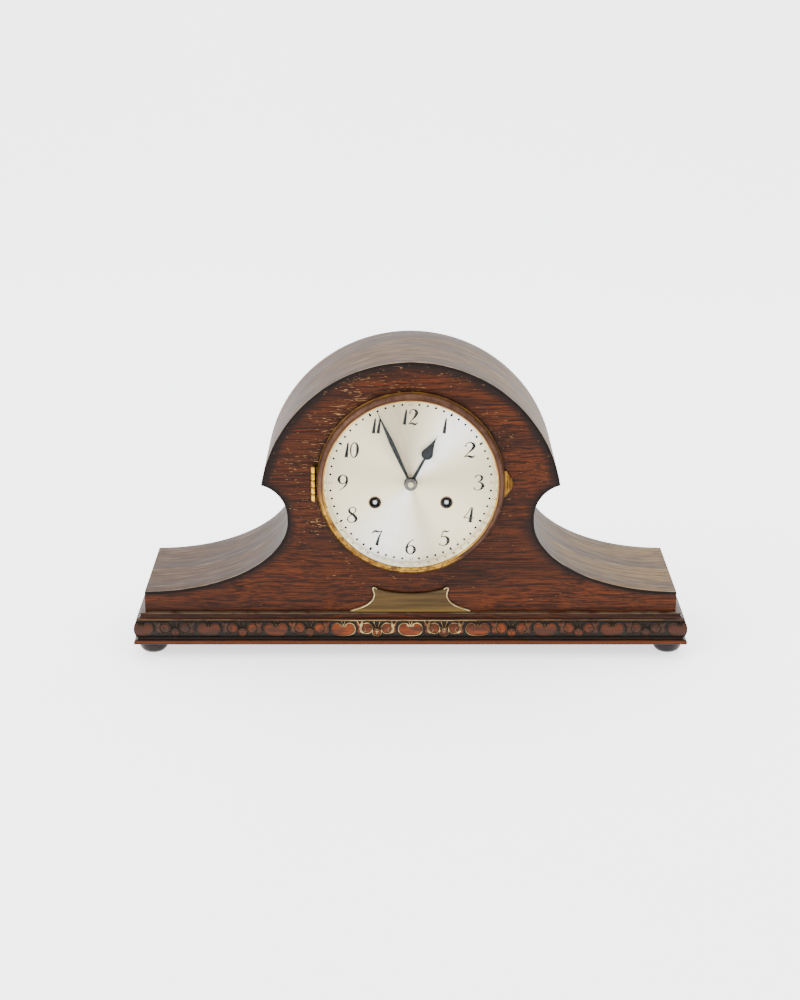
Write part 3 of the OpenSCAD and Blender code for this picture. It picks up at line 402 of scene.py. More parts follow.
def skin_oak():
    """Oak of the bent tops, greyed partly by dust and partly as painted sheen, with painted light and shade,
    dark front edges and a thin painted highlight along them.
    """
    s = Shade("skin_oak", Specular_IOR_Level=0.08)
    x, y, z = s.xyz()
    run = s.attribute("run")
    drift = s.noise(s.vector(s.times(run, 14.0), s.times(y, 20.0), 0.0), detail=3.0)
    across = s.plus(y, s.times(s.minus(drift, 0.5), 0.016))

    def grain(a, b, detail=3.0):
        return s.noise(s.vector(s.times(run, a), s.times(across, b), 0.0), detail=detail)

    broad = grain(7.0, 36.0, 4.0)
    lines = grain(17.0, 190.0, 4.0)
    pale = grain(30.0, 330.0, 2.0)
    # painted light: the tops are lighter towards the right, where they face the light; their pale grey-brown
    # tone is partly dust and partly painted sheen
    side = s.span(x, -0.15, 0.19)
    base = s.mix(side, srgb(72, 52, 37), srgb(104, 82, 52))
    base = s.mix(s.span(broad, 0.36, 0.62, 0.75, 0.0), base, srgb(40, 27, 18))
    base = s.mix(s.span(lines, 0.54, 0.40, 0.0, 0.42), base, srgb(34, 22, 14))
    base = s.mix(s.span(grain(60.0, 800.0), 0.54, 0.42, 0.0, 0.5), base, srgb(34, 22, 14))
    base = s.mix(s.span(pale, 0.52, 0.66, 0.0, 0.3), base, srgb(118, 98, 76))
    # painted shade: the steep inner parts of the wings, in the hollows below the hood, are darkened
    low = s.span(z, 0.076, 0.112)
    hollow = s.times(low, s.span(s.maths("ABSOLUTE", x), 0.135, 0.105))
    below_hood = s.span(z, 0.150, 0.140)
    base = s.mix(s.times(s.times(hollow, below_hood), 0.82), base, srgb(18, 12, 8))
    depth = s.minus(y, Y_FRONT * MM)
    wear = s.noise(s.place(60), detail=3.0)
    # painted highlight: a thin pale line along the rounded front corner, broken up by noise
    line = s.times(s.span(depth, 0.0004, 0.0006), s.span(depth, 0.0015, 0.0011))
    line = s.times(line, s.span(wear, 0.42, 0.60, 0.05, 0.75))
    face = s.span(depth, 0.0005, 0.0003)
    base = s.mix(face, base, s.mix(wear, srgb(10, 6, 4), srgb(22, 13, 9)))
    base = s.mix(line, base, srgb(150, 134, 112))
    s.colour(base)
    s.rough(broad, 0.5, 0.62)
    s.bump(lines, 0.25, 0.06)
    return s.mat


def edge_shade(s, x, z):
    """How much the stain darkens towards the outline of the front, with a painted shadow round the bezel
    added.
    """
    ax = s.maths("ABSOLUTE", x)
    hood = s.minus((HOOD_R - SKIN_T) * MM, s.away(0, HOOD_Z))
    below = s.span(z, 0.108, 0.098)
    hood = s.plus(hood, s.times(below, 0.2))
    notch = s.minus(s.away(NOTCH_X, NOTCH_Z), NOTCH_R * MM)
    ex = s.maths("DIVIDE", s.minus(HALF_W * MM, ax), SWEEP_A * MM)
    ez = s.maths("DIVIDE", s.minus(SWEEP_Z * MM, z), SWEEP_B * MM)
    ez = s.maths("MAXIMUM", ez, 0.0)
    sweep = s.times(s.minus(s.length(ex, ez), 1.0), 0.075)
    sweep = s.plus(sweep, s.span(z, SWEEP_Z * MM, (SWEEP_Z + 7) * MM, 0.0, 0.2))
    bezel = s.minus(s.away(0, DIAL_Z), BEZEL_R * MM)
    nearest = s.maths("MINIMUM", s.maths("MINIMUM", hood, notch), sweep)
    wobble = s.times(s.noise(s.place(40), detail=3.0), 0.005)
    shade = s.span(s.minus(nearest, wobble), -0.002, 0.0055, 0.9, 0.0)
    # painted shadow: the front darkened in a ring just outside the proud bezel
    ring = s.span(bezel, 0.0, 0.004, 0.5, 0.0)
    return s.maths("MAXIMUM", shade, ring)


# ---- metal ----


def metal(name, base, worn, rough, scale, brushed=False):
    """Metal with drifting tone, fine scratches and, where asked, brushing along x."""
    s = Shade(name, Metallic=1.0)
    cloud = s.noise(s.place(scale), detail=4.0, rough=0.6)
    colour = s.mix(s.span(cloud, 0.35, 0.68), base, worn)
    height = s.noise(s.place(40, 2600, 2600) if brushed else s.place(900), detail=2.0)
    if brushed:
        colour = s.mix(s.span(height, 0.4, 0.7, 0.0, 0.35), colour, worn)
    s.colour(colour)
    s.rough(cloud, rough, rough + 0.18)
    s.bump(height, 0.2, 0.03)
    return s.mat


def plain(name, base, other, rough=0.5, scale=80.0, metallic=0.0, spec=0.5):
    """A quiet material whose tone and gloss drift a little."""
    s = Shade(name, Metallic=metallic, Specular_IOR_Level=spec)
    cloud = s.noise(s.place(scale), detail=4.0, rough=0.6)
    s.colour(s.mix(s.span(cloud, 0.3, 0.7), base, other))
    s.rough(cloud, rough - 0.08, rough + 0.08)
    s.bump(s.noise(s.place(1200), detail=2.0), 0.15, 0.03)
    return s.mat


def bezel_metal():
    """Brass gone copper-brown above, still gold and pitted at the lower left, with bright thin edges."""
    s = Shade("bezel_metal", Metallic=0.85)
    x, _, z = s.xyz()
    radius = s.away(0, DIAL_Z)
    towards = s.plus(s.times(x, -0.42), s.times(s.minus(z, DIAL_Z * MM), -0.9))
    lower_left = s.maths("DIVIDE", towards, BEZEL_R * MM)
    cloud = s.noise(s.place(120), detail=4.0, rough=0.65)
    bare = s.span(s.plus(lower_left, s.times(s.minus(cloud, 0.5), 0.4)), 0.40, 0.66)
    lip = s.span(radius, (LIP_R + 1.0) * MM, (LIP_R + 0.6) * MM)
    rim = s.span(radius, (BEZEL_R - 0.5) * MM, (BEZEL_R - 0.2) * MM, 0.0, 0.4)
    patina = s.mix(s.span(cloud, 0.3, 0.7), srgb(62, 40, 29), srgb(88, 60, 45))
    gold = s.mix(s.span(cloud, 0.35, 0.65), srgb(188, 140, 44), srgb(118, 78, 22))
    spots = s.noise(s.place(520), detail=3.0, rough=0.7)
    outside = s.span(radius, (BEZEL_R - 3.2) * MM, (BEZEL_R - 0.8) * MM, 0.0, 0.07)
    pits = s.times(s.span(s.plus(spots, outside), 0.52, 0.60), s.times(bare, 0.9))
    groove = s.times(s.span(radius, (LIP_R + 1.2) * MM, (LIP_R + 1.5) * MM),
                     s.span(radius, (LIP_R + 2.3) * MM, (LIP_R + 1.9) * MM))
    gold = s.mix(pits, gold, srgb(50, 28, 12))
    share = s.maths("MAXIMUM", s.maths("MAXIMUM", s.times(bare, 0.9), lip), rim)
    colour = s.mix(share, patina, gold)
    s.colour(s.mix(s.times(groove, 0.7), colour, srgb(42, 25, 15)))
    s.rough(share, 0.52, 0.32, 0.0, 1.0)
    s.bump(s.minus(s.times(cloud, 0.3), pits), 0.5, 0.12)
    return s.mat


def eyelet_brass():
    """Winding-hole eyelets: the inside of the hole painted dark as shade, and a thin brass rim."""
    s = Shade("eyelet_brass", Metallic=0.8)
    off = s.away(WIND_X, WIND_Z)
    cloud = s.noise(s.place(500), detail=3.0)
    rim = s.span(off, (EYELET_R - 0.7) * MM, (EYELET_R - 0.4) * MM)
    # painted shade: the inside of the hole is dark grey
    hole_shade = s.mix(cloud, srgb(34, 37, 40), srgb(54, 57, 60))
    s.colour(s.mix(rim, hole_shade, s.mix(cloud, srgb(170, 140, 92), srgb(140, 108, 66))))
    s.rough(cloud, 0.35, 0.5)
    return s.mat


def nut_steel():
    """The hand nut: grey steel with a paler middle that is a painted highlight."""
    s = Shade("nut_steel", Metallic=0.8)
    radius = s.away(0, DIAL_Z)
    cloud = s.noise(s.place(500), detail=3.0)
    ring = s.mix(cloud, srgb(84, 80, 75), srgb(112, 108, 102))
    ring = s.mix(s.span(radius, 0.0046, 0.0050), ring, srgb(24, 23, 22))
    # painted highlight: a pale cream spot on the middle of the dome
    s.colour(s.mix(s.span(radius, 0.0026, 0.0016), ring, srgb(196, 184, 146)))
    s.rough(cloud, 0.3, 0.45)
    return s.mat


def winding_steel():
    """Steel of the winding arbors: a painted highlight on the squares' ends and painted shade, with some oil,
    behind.
    """
    s = Shade("winding_steel", Metallic=0.8)
    cloud = s.noise(s.place(400), detail=3.0)
    tip_face = s.span(s.xyz()[1], (Y_FRONT + 0.9) * MM, (Y_FRONT + 0.7) * MM)
    # painted highlight on the front end of each square
    end = s.times(tip_face, s.span(s.away(WIND_X, WIND_Z), 0.0019, 0.0013))
    # painted shade, partly oil: the rest of the arbor is dark
    dark = s.mix(cloud, srgb(30, 29, 28), srgb(50, 47, 44))
    light = s.mix(cloud, srgb(214, 212, 206), srgb(176, 174, 168))
    s.colour(s.mix(end, dark, light))
    s.rough(cloud, 0.35, 0.5)
    return s.mat


def dial_metal():
    """Silvered dial, brushed in circles, with bright and dim wedges of painted reflection, a little browned
    at its edge.
    """
    s = Shade("dial_silvering", Metallic=0.15, Specular_IOR_Level=0.3, Anisotropic=0.6)
    x, _, z = s.xyz()
    radius = s.away(0, DIAL_Z)
    angle = s.maths("ARCTAN2", s.minus(z, DIAL_Z * MM), x)

    def lobe(towards, sharp, amount):
        """A soft wedge of painted reflection that points towards an angle in degrees, anticlockwise from
        three.
        """
        a = math.radians(towards)
        c = s.plus(s.times(s.maths("COSINE", angle), math.cos(a)),
                   s.times(s.maths("SINE", angle), math.sin(a)))
        return s.times(s.maths("POWER", s.maths("MAXIMUM", c, 0.0), sharp), amount)

    rays = s.noise(s.vector(s.maths("COSINE", angle), s.maths("SINE", angle), s.times(radius, 3.0)),
                   scale=42.0, detail=2.0)
    rings = s.noise(s.vector(s.times(radius, 5200.0), s.times(angle, 1.2), 0.0), detail=2.0)
    # painted reflection: bright and dim wedges painted into the colour by angle
    bright = s.maths("MINIMUM", s.plus(lobe(50, 26, 1.0), lobe(246, 10, 0.9)), 1.0)
    dim = s.maths("MINIMUM", s.plus(s.plus(lobe(100, 9, 0.8), lobe(8, 12, 0.4)),
                                    s.plus(lobe(165, 10, 0.3), lobe(284, 40, 0.4))), 1.0)
    base = s.mix(dim, srgb(246, 233, 190), srgb(146, 136, 104))
    base = s.mix(bright, base, srgb(253, 252, 247))
    base = s.mix(s.span(rays, 0.3, 0.75, 0.0, 0.3), base, srgb(212, 204, 178))
    stain = s.noise(s.place(55), detail=4.0, rough=0.6)
    edge = s.span(s.plus(radius, s.times(stain, 0.002)), 0.0650, 0.0700, 0.0, 0.6)
    base = s.mix(edge, base, srgb(170, 150, 112))
    spots = s.span(s.noise(s.place(420), detail=1.0), 0.80, 0.84, 0.0, 0.5)
    base = s.mix(spots, base, srgb(140, 128, 108))
    s.colour(base)
    s.rough(rings, 0.30, 0.40)
    tangent = s.node("ShaderNodeTangent", 0, {"direction_type": "RADIAL", "axis": "Y"})
    s.link(s.bsdf.inputs["Tangent"], tangent)
    s.bump(rings, 0.05, 0.01)
    return s.mat


def glass():
    """Thin clear glass: it lets light through and keeps a faint reflection."""
    s = Shade("bezel_glass", Roughness=0.03, IOR=1.45, Alpha=0.05)
    haze = s.noise(s.place(14), detail=3.0)
    s.colour(s.mix(s.span(haze, 0.3, 0.7), srgb(70, 74, 76), srgb(40, 42, 44)))
    s.rough(haze, 0.02, 0.08, 0.35)
    return s.mat


def carved_wood():
    """Carving: orange-brown raised fields with painted shade towards their edges, in the hollows and round
    the ridges, and ridges pale near the middle, partly wear and partly painted highlight.
    """
    s = Shade("carved_oak", Specular_IOR_Level=0.18)
    off = s.maths("ABSOLUTE", s.xyz()[0])
    ridge = s.attribute("ridge")
    field = s.attribute("field")
    cloud = s.noise(s.place(45, 90, 160), detail=4.0, rough=0.6)
    grain = s.noise(s.place(60, 1, 900), detail=3.0)
    # painted shade: the sunk areas between the raised parts are near black
    hollow_shade = s.mix(cloud, srgb(16, 13, 10), srgb(26, 20, 14))
    warm = s.mix(s.span(cloud, 0.3, 0.7), srgb(56, 22, 3), srgb(112, 47, 4))
    warm = s.mix(s.span(grain, 0.52, 0.38, 0.0, 0.5), warm, srgb(36, 20, 12))
    middle = s.span(off, 0.066, 0.036)
    far = s.span(off, 0.05, 0.2, 0.0, 0.8)
    warm = s.mix(far, warm, srgb(26, 14, 8))
    # the fields darken towards their edges as painted shade, read from the field numbers
    colour = s.mix(s.maths("POWER", field, 1.8), hollow_shade, warm)
    dull = s.mix(s.times(cloud, s.span(far, 0.0, 0.7, 1.0, 0.45)), srgb(22, 15, 10), srgb(86, 62, 38))
    # the ridges near the middle are pale, partly wear and partly painted highlight
    pale = s.mix(s.span(cloud, 0.35, 0.65), srgb(96, 66, 30), srgb(206, 178, 122))
    worn = s.mix(middle, dull, pale)
    colour = s.mix(s.span(ridge, 0.45, 0.85), colour, worn)
    # painted shade: a dark outline at the foot of each ridge
    outline = s.times(s.span(ridge, 0.0, 0.08), s.span(ridge, 0.55, 0.3, 0.0, 0.8))
    s.colour(s.mix(outline, colour, srgb(18, 11, 7)))
    s.rough(cloud, 0.42, 0.6)
    s.bump(grain, 0.2, 0.08)
    return s.mat


def plaque_brass():
    """Brushed olive brass, darker in drifting bands along it."""
    s = Shade("plaque_brass", Metallic=0.85)
    bands = s.noise(s.place(14, 14, 420), detail=4.0, rough=0.6)
    brush = s.noise(s.place(60, 60, 5200), detail=2.0)
    low = s.span(s.xyz()[2], 0.041, 0.0375)
    colour = s.mix(s.span(bands, 0.35, 0.65), srgb(50, 38, 21), srgb(72, 55, 29))
    colour = s.mix(s.times(low, 0.6), colour, srgb(100, 78, 32))
    s.colour(colour)
    s.rough(brush, 0.36, 0.5)
    s.bump(brush, 0.2, 0.02)
    return s.mat


def enamel(name, base, wear):
    """Printed or painted black, worn a little."""
    s = Shade(name, Specular_IOR_Level=0.2)
    worn = s.noise(s.place(700), detail=3.0, rough=0.7)
    s.colour(s.mix(s.span(worn, 0.5, 0.75, 0.0, 0.6), base, wear))
    s.rough(worn, 0.42, 0.6)
    return s.mat


M = {
    "front": oak("front_oak", (srgb(20, 10, 6), srgb(48, 20, 5), srgb(84, 37, 8)), flecks=0.8, edge=True,
                 spec=0.10),
    "skin": skin_oak(),
    "end": oak("end_oak", (srgb(20, 10, 6), srgb(46, 19, 6), srgb(74, 32, 8)), True, rough=0.6, spec=0.07),
    "plinth": oak("plinth_oak", (srgb(18, 9, 6), srgb(42, 18, 8), srgb(74, 32, 12)), plinth=True),
    "board": oak("board_oak", (srgb(18, 9, 6), srgb(42, 18, 8), srgb(66, 29, 11))),
    "carved": carved_wood(),
    "bare": oak("bare_wood", (srgb(140, 104, 68), srgb(176, 138, 94), srgb(204, 168, 120)), rough=0.62,
                streak=0.35),
    "back": oak("back_wood", (srgb(56, 35, 20), srgb(86, 56, 32), srgb(112, 77, 46)), True, rough=0.55,
                streak=0.6),
    "foot": plain("foot_lacquer", srgb(12, 7, 4), srgb(34, 17, 9), 0.34, 120, spec=0.25),
    "bezel": bezel_metal(),
    "gilt": metal("gilt_brass", srgb(170, 122, 44), srgb(116, 76, 26), 0.26, 140),
    "knuckle": metal("knuckle_brass", srgb(206, 156, 56), srgb(150, 104, 32), 0.24, 300),
    "pale": metal("bevel_brass", srgb(196, 178, 132), srgb(150, 128, 84), 0.26, 200),
    "tab": metal("tab_brass", srgb(132, 96, 40), srgb(84, 58, 24), 0.34, 160),
    # dark brass of the hinge plates, painted as the shade they lie in
    "leaf": metal("leaf_brass", srgb(64, 44, 22), srgb(36, 24, 13), 0.4, 200),
    "inner_gilt": metal("sight_brass", srgb(248, 246, 236), srgb(242, 236, 216), 0.18, 60),
    "plaque": plaque_brass(),
    "brass": metal("clock_brass", srgb(206, 172, 100), srgb(180, 142, 76), 0.26, 70, brushed=True),
    "steel": metal("clock_steel", srgb(196, 196, 198), srgb(158, 158, 162), 0.28, 90),
    "winding": winding_steel(),
    "eyelet": eyelet_brass(),
    "nut": nut_steel(),
    "iron": plain("gong_iron", srgb(52, 52, 54), srgb(78, 76, 74), 0.6, 100, 0.6),
    "dial": dial_metal(),
    "glass": glass(),
    "hands": enamel("blued_steel", srgb(14, 16, 18), srgb(34, 37, 40)),
    "ink": enamel("dial_ink", srgb(8, 8, 10), srgb(26, 26, 28)),
    "faint_ink": enamel("faint_ink", srgb(112, 102, 84), srgb(140, 130, 108)),
}

CAD_MATERIALS = {
    "front": ["front_panel"],
    "end": ["left_end_panel", "right_end_panel"],
    "back": ["back_panel", "back_door"],
    "bare": ["base_board", "glue_blocks"],
    "board": ["plinth_board"],
    "gilt": ["door_hinges_fixed", "door_hinges_moving", "dial_screws", "dial_pan"],
    "eyelet": ["winding_eyelets"],
    "inner_gilt": ["sight_ring"],
    "dial": ["dial_plate"],
    "glass": ["bezel_glass"],
    "steel": ["foot_screws", "door_hinge_pins", "movement_screws", "anchor", "pendulum_rod", "fly", "hammer"],
    "brass": ["movement_front_plate", "movement_rear_plate", "plate_pillars", "time_barrel", "strike_barrel",
              "intermediate_wheel", "centre_wheel", "third_wheel", "escape_wheel", "minute_wheel",
              "hour_wheel", "suspension_bracket", "pendulum_bob", "strike_wheel",
              "locking_wheel", "gong_rods"],
    "winding": ["time_winding_arbor", "strike_winding_arbor"],
    "iron": ["gong_block", "bezel_hinge_pin"],
}


def dress_cad():
    """Gives the CAD nodes that stay their materials."""
    for key, names in CAD_MATERIALS.items():
        for name in names:
            mesh = NODES[name].data
            mesh.materials.clear()
            mesh.materials.append(M[key])


# ---- case ----


def skin(name, line, mirror):
    """A bent skin whose front and back corners are rounded."""
    r = 0.8
    arc = [(r * (1 - math.sin(a)), r * (1 - math.cos(a))) for a in np.linspace(0, math.pi / 2, 6)]
    # (depth from the front, inset) round the section, from the inner front corner
    section = [(0.0, SKIN_T), (0.0, 1.6)] + arc[::-1]
    depth = Y_BACK - Y_FRONT
    middle = [(depth * k / 8, 0.0) for k in range(1, 8)]
    back = [(depth - d, t) for d, t in section][::-1]
    loop = section + middle + back
    rows = []
    for d, t in loop:
        p = line(t)
        rows.append(np.stack([p[:, 0] * (-1 if mirror else 1), np.full(len(p), Y_FRONT + d), p[:, 1]], 1))
    rows = np.array(rows)
    verts, faces = grid(rows, close_rows=True)
    n, cols = rows.shape[:2]
    faces.append(tuple(i * cols for i in range(n)))
    faces.append(tuple(i * cols + cols - 1 for i in range(n))[::-1])
    obj = add(name + "_bent", verts, faces, M["skin"], "case", "skin_oak", [name])
    path = line(0.0)
    run = np.concatenate([[0.0], np.cumsum(np.linalg.norm(np.diff(path, axis=0), axis=1))]) * MM
    number_points(obj, "run", np.tile(run, n))


def build_case():
    skin("hood_skin", hood_arc, False)
    skin("left_wing_skin", wing_line, True)
    skin("right_wing_skin", wing_line, False)


# ---- plinth ----


def band_out(z):
    share = (z - BAND_LOW) / (BAND_HIGH - BAND_LOW)
    return BAND_OUT + BAND_BULGE * np.sin(math.pi * share) - 0.4 * share


def moulding_top():
    """Section above the carved band as (out, height), from the band up to the case."""
    edge = [(BAND_OUT - 0.4, BAND_HIGH), (6.8, 31.9), (6.9, 32.2), (6.7, 32.5)]
    cove = [(3.4 + 3.2 * (1 - math.sin(a)), 32.7 + 2.9 * (1 - math.cos(a)))
            for a in np.linspace(0, math.pi / 2, 9)]
    return edge + cove + [(3.6, 35.9), (3.9, 36.1), (3.9, 36.5), (3.6, CASE_Z), (-SECTION_IN, CASE_Z)]


def moulding_low():
    """Section below the band, from the underside up to the band."""
    z = PLINTH_Z
    bead = [(PLINTH_OUT - BEAD_R + BEAD_R * math.cos(a), z + BEAD_R + BEAD_R * math.sin(a))
            for a in np.linspace(-math.pi / 2, math.pi / 2, 11)]
    hollow = [(6.4, z + 4.1), (6.0, 15.6), (5.9, 16.0), (6.0, 16.6), (6.4, 17.3), (BAND_OUT, BAND_LOW)]
    return [(-SECTION_IN, z)] + bead + hollow


def distance_to(px, pz, curve):
    """Distance from each point to a polyline."""
    best = np.full(px.shape, 1e9)
    for (ax, az), (bx, bz) in zip(curve[:-1], curve[1:]):
        dx, dz = bx - ax, bz - az
        t = np.clip(((px - ax) * dx + (pz - az) * dz) / (dx * dx + dz * dz + 1e-12), 0, 1)
        best = np.minimum(best, np.hypot(px - ax - t * dx, pz - az - t * dz))
    return best


def inside(px, pz, curve):
    """Which points lie in a closed polyline."""
    hit = np.zeros(px.shape, bool)
    for (ax, az), (bx, bz) in zip(curve, np.roll(curve, -1, axis=0)):
        crosses = (az > pz) != (bz > pz)
        hit ^= crosses & (px < (bx - ax) * (pz - az) / (bz - az + 1e-12) + ax)
    return hit


def both_sides(points):
    p = np.array(points, float)
    return [p, p * [-1, 1]]


def ring_points(cx, cz, r, start, end, steps=28):
    a = np.radians(np.linspace(start, end, steps))
    return np.stack([cx + r * np.cos(a), cz + r * np.sin(a)], 1)


def carving(px, pz):
    """Ridge and field strengths, and height in millimetres, at x and height above the band's middle."""
    ridge = np.zeros(px.shape)
    field = np.zeros(px.shape)
    u = (px + MOTIF_PITCH / 2) % MOTIF_PITCH - MOTIF_PITCH / 2
    w = px % MOTIF_PITCH - MOTIF_PITCH / 2

    def raise_line(where, curve, half=0.55, strength=1.0):
        d = distance_to(where, pz, curve)
        np.maximum(ridge, strength * np.exp(-((d / (0.7 * half)) ** 2.4)), out=ridge)

    def raise_field(where, curve, soft=1.2):
        d = distance_to(where, pz, curve)
        # inside a field the strength drops to 0.35 at its edge, which the material paints as shade
        np.maximum(field, np.where(inside(where, pz, curve), np.minimum(1, 0.35 + d / soft), 0), out=field)

    # cushion with scrolled shoulders and a small leaf at its top
    side = spline([(0.9, 2.4), (2.4, 4.0), (5.2, 4.9), (8.4, 3.6), (9.7, 0.4), (8.8, -2.8), (5.6, -5.2),
                   (0, -6.0)], 8)
    loop = np.vstack([side, (side * [-1, 1])[::-1]])
    raise_field(u, loop)
    for s in both_sides(side):
        raise_line(u, s)
    for s in both_sides(spline([(0.9, 2.4), (1.7, 2.2), (2.6, 3.2), (2.1, 4.4)], 6)):
        raise_line(u, s, 0.45)
    for s in both_sides([(0.2, 2.6), (1.4, 6.2)]) + [np.array([(0.0, 2.2), (0.0, 4.2)])]:
        raise_line(u, s, 0.5, 0.9)
    # pair of leaf scrolls either side of a drop
    for sign in (-1, 1):
        centre = 8.0 * sign
        raise_field(w, ring_points(centre, 0.6, 4.2, 0, 360))
        raise_line(w, ring_points(0, 0.6, 4.4, 60, 395) * [sign, 1] + [centre, 0], 0.55)
        facing = 0 if sign > 0 else 180
        raise_line(w, ring_points(centre + 0.9 * sign, 0.6, 4.6, facing - 60, facing + 60), 0.9, 0.85)
        leaf = spline([(2.2, 1.8), (1.0, 0.6), (0.9, -0.9), (2.0, -1.9)], 5) * [sign, 1] + [centre, 0]
        raise_line(w, leaf, 0.45, 0.8)
        raise_line(w, np.array([(1.0 * sign, 2.2), (2.4 * sign, 5.8)]), 0.7, 0.95)
        raise_line(w, np.array([(0.5 * sign, -0.2), (3.4 * sign, 2.4)]), 0.5, 0.8)
    drop = ring_points(0, -2.6, 3.7, 150, 390)
    raise_field(w, ring_points(0, -2.6, 3.6, 0, 360))
    raise_line(w, drop, 0.5)
    for curve in ([(0, -4.6), (0, 1.4)], [(-1.1, -1.2), (0, -2.6), (1.1, -1.2)]):
        raise_line(w, np.array(curve, float), 0.5, 0.85)
    # links between the motifs: little darts hanging from the top edge
    for s in (-1, 1):
        c = 13.7 * s
        raise_field(w, np.array([(c - 3.4, 5.4), (c + 3.4, 5.4), (c + 1.6, 2.0), (c + 2.4, -2.2), (c, -4.6),
                                 (c - 2.4, -2.2), (c - 1.6, 2.0)]), 1.6)
        for curve in ([(c - 2.2, 6.2), (c, 3.0)], [(c + 2.2, 6.2), (c, 3.0)]):
            raise_line(w, np.array(curve, float), 0.5, 0.9)
    edge_high = np.clip((pz - 6.0) / 0.6, 0, 1)
    ridge = np.maximum(ridge, 0.8 * edge_high)
    height = 1.5 * ridge + 0.95 * field * (1 - ridge) - 1.2
    return ridge, field, height


def build_plinth():
    # plain lengths above and below the band, mitred to the side mouldings
    for name, section in (("front_moulding_top", moulding_top()), ("front_moulding_low", moulding_low())):
        rows = [[(s * (HALF_W + o), Y_FRONT - o, z) for s in np.linspace(-1, 1, 40)] for o, z in section]
        verts, faces = grid(np.array(rows))
        add(name, verts, faces, M["plinth"], "case", "carved_oak")
    zs = np.arange(BAND_LOW, BAND_HIGH + 1e-6, CARVE_STEP_Z)
    xs = np.linspace(-1, 1, int(2 * (HALF_W + PLINTH_OUT) / CARVE_STEP_X))
    out = band_out(zs)
    px = xs[None, :] * (HALF_W + out[:, None])
    pz = np.repeat((zs - (BAND_LOW + BAND_HIGH) / 2)[:, None], len(xs), 1)
    ridge, field, height = carving(px, pz)
    fade = np.clip((BAND_HIGH - zs) / 0.6, 0, 1) * np.clip((zs - BAND_LOW) / 0.6, 0, 1)
    lift = height * fade[:, None]
    points = np.stack([px, Y_FRONT - out[:, None] - lift, np.repeat(zs[:, None], len(xs), 1)], 2)
    verts, faces = grid(points)
    band = add("front_moulding_band", verts, faces, M["carved"], "case", "carved_oak", ["front_moulding"])
    number_points(band, "ridge", ridge)
    number_points(band, "field", field)
    # side mouldings
    band_section = [(band_out(z), z) for z in np.linspace(BAND_LOW, BAND_HIGH, 14)]
    section = moulding_low() + band_section[1:-1] + moulding_top()
    parts = []
    for sign in (-1, 1):
        ys = np.linspace(0, 1, 12)
        rows = np.array([[(sign * (HALF_W + o), Y_FRONT - o + s * (Y_BACK - Y_FRONT + o), z) for s in ys]
                         for o, z in section])
        verts, faces = grid(rows)
        cols = len(ys)
        faces.append(tuple(i * cols + cols - 1 for i in range(len(section))))
        parts.append((verts, faces))
    add("side_mouldings_run", *joined(*parts), M["plinth"], "case", "carved_oak", ["side_mouldings"])


def build_feet():
    high = box_mm("feet")[1]
    r = high[0] - box_mm("foot_screws")[1][0] + 3.1
    cx, cy = high[0] - r, high[1] - r
    belly = PLINTH_Z * 6 / 11
    profile = [(0, 0.9), (3.2, 0.9), (3.5, 0.2), (4.2, 0)] + [
        (r * (0.42 + 0.58 * math.cos(a)), belly * (1 + math.sin(a) / math.sin(math.radians(70))))
        for a in np.radians(np.linspace(-70, 50, 25))
    ] + [(r * 0.74, PLINTH_Z - 0.1), (r * 0.72, PLINTH_Z)]
    parts = [grid(revolved(profile, x, y, 0, 64, "z"), close_cols=True) for x in (-cx, cx) for y in (-cy, cy)]
    add("bun_feet", *joined(*parts), M["foot"], "case", "foot_wood", ["feet"])


def plaque_outline(inset):
    """Outline of the plaque, moved inwards; the inset is capped where the shape is thin."""
    half = [(PLAQUE_SIDE[0][0], 0.0)]
    for t in np.linspace(0, 1, 21):
        weights = np.array([(1 - t) ** 3, 3 * (1 - t) ** 2 * t, 3 * (1 - t) * t * t, t ** 3])
        half.append(tuple(weights @ PLAQUE_SIDE))
    half += [(EAR_X + EAR_R * math.cos(a), EAR_Z + EAR_R * math.sin(a))
             for a in np.radians(np.linspace(-30, 110, 11))]
    half += [(28.2 * (1 - i / 16), 16.5 + 4.3 * (1 - i / 16) ** 2.2) for i in range(1, 17)]
    p = np.array(half)
    full = np.vstack([p, (p[:-1] * [-1, 1])[::-1]])
    ahead = np.roll(full, -1, axis=0) - np.roll(full, 1, axis=0)
    ahead /= np.linalg.norm(ahead, axis=1)[:, None]
    ears = np.where(full[:, 1] > 17.5, 1.2, 1.9)
    reach = np.minimum(np.minimum(inset, 0.35 * full[:, 1]), ears)[:, None]
    return full + reach * np.stack([-ahead[:, 1], ahead[:, 0]], 1)


def build_plaque():
    t = Y_FRONT - box_mm("plaque")[0][1]
    rings = [(0.0, 0.0), (0.0, t - 1.1), (0.2, t - 0.5), (0.6, t - 0.05), (0.8, t), (1.0, t - 0.2),
             (1.2, t - 0.3)]
    rows = np.array([[(x, Y_FRONT - d, CASE_Z + max(z, 0.0)) for x, z in plaque_outline(inset)]
                     for inset, d in rings])
    verts, faces = grid(rows, close_cols=True)
    n = rows.shape[1]
    last = (len(rings) - 1) * n
    faces.append(tuple(range(last, last + n)))
    obj = add("plaque_plate", verts, faces, [M["plaque"], M["pale"]], "case", "plaque_brass", ["plaque"])
    obj.data.polygons[-1].use_smooth = False
    for p in obj.data.polygons[:-1]:
        side = abs(p.center.x) > 27.5 * MM and p.center.z > (CASE_Z + 0.8) * MM
        p.material_index = 1 if side and p.index < (len(rings) - 2) * n else 0


# ---- bezel ----


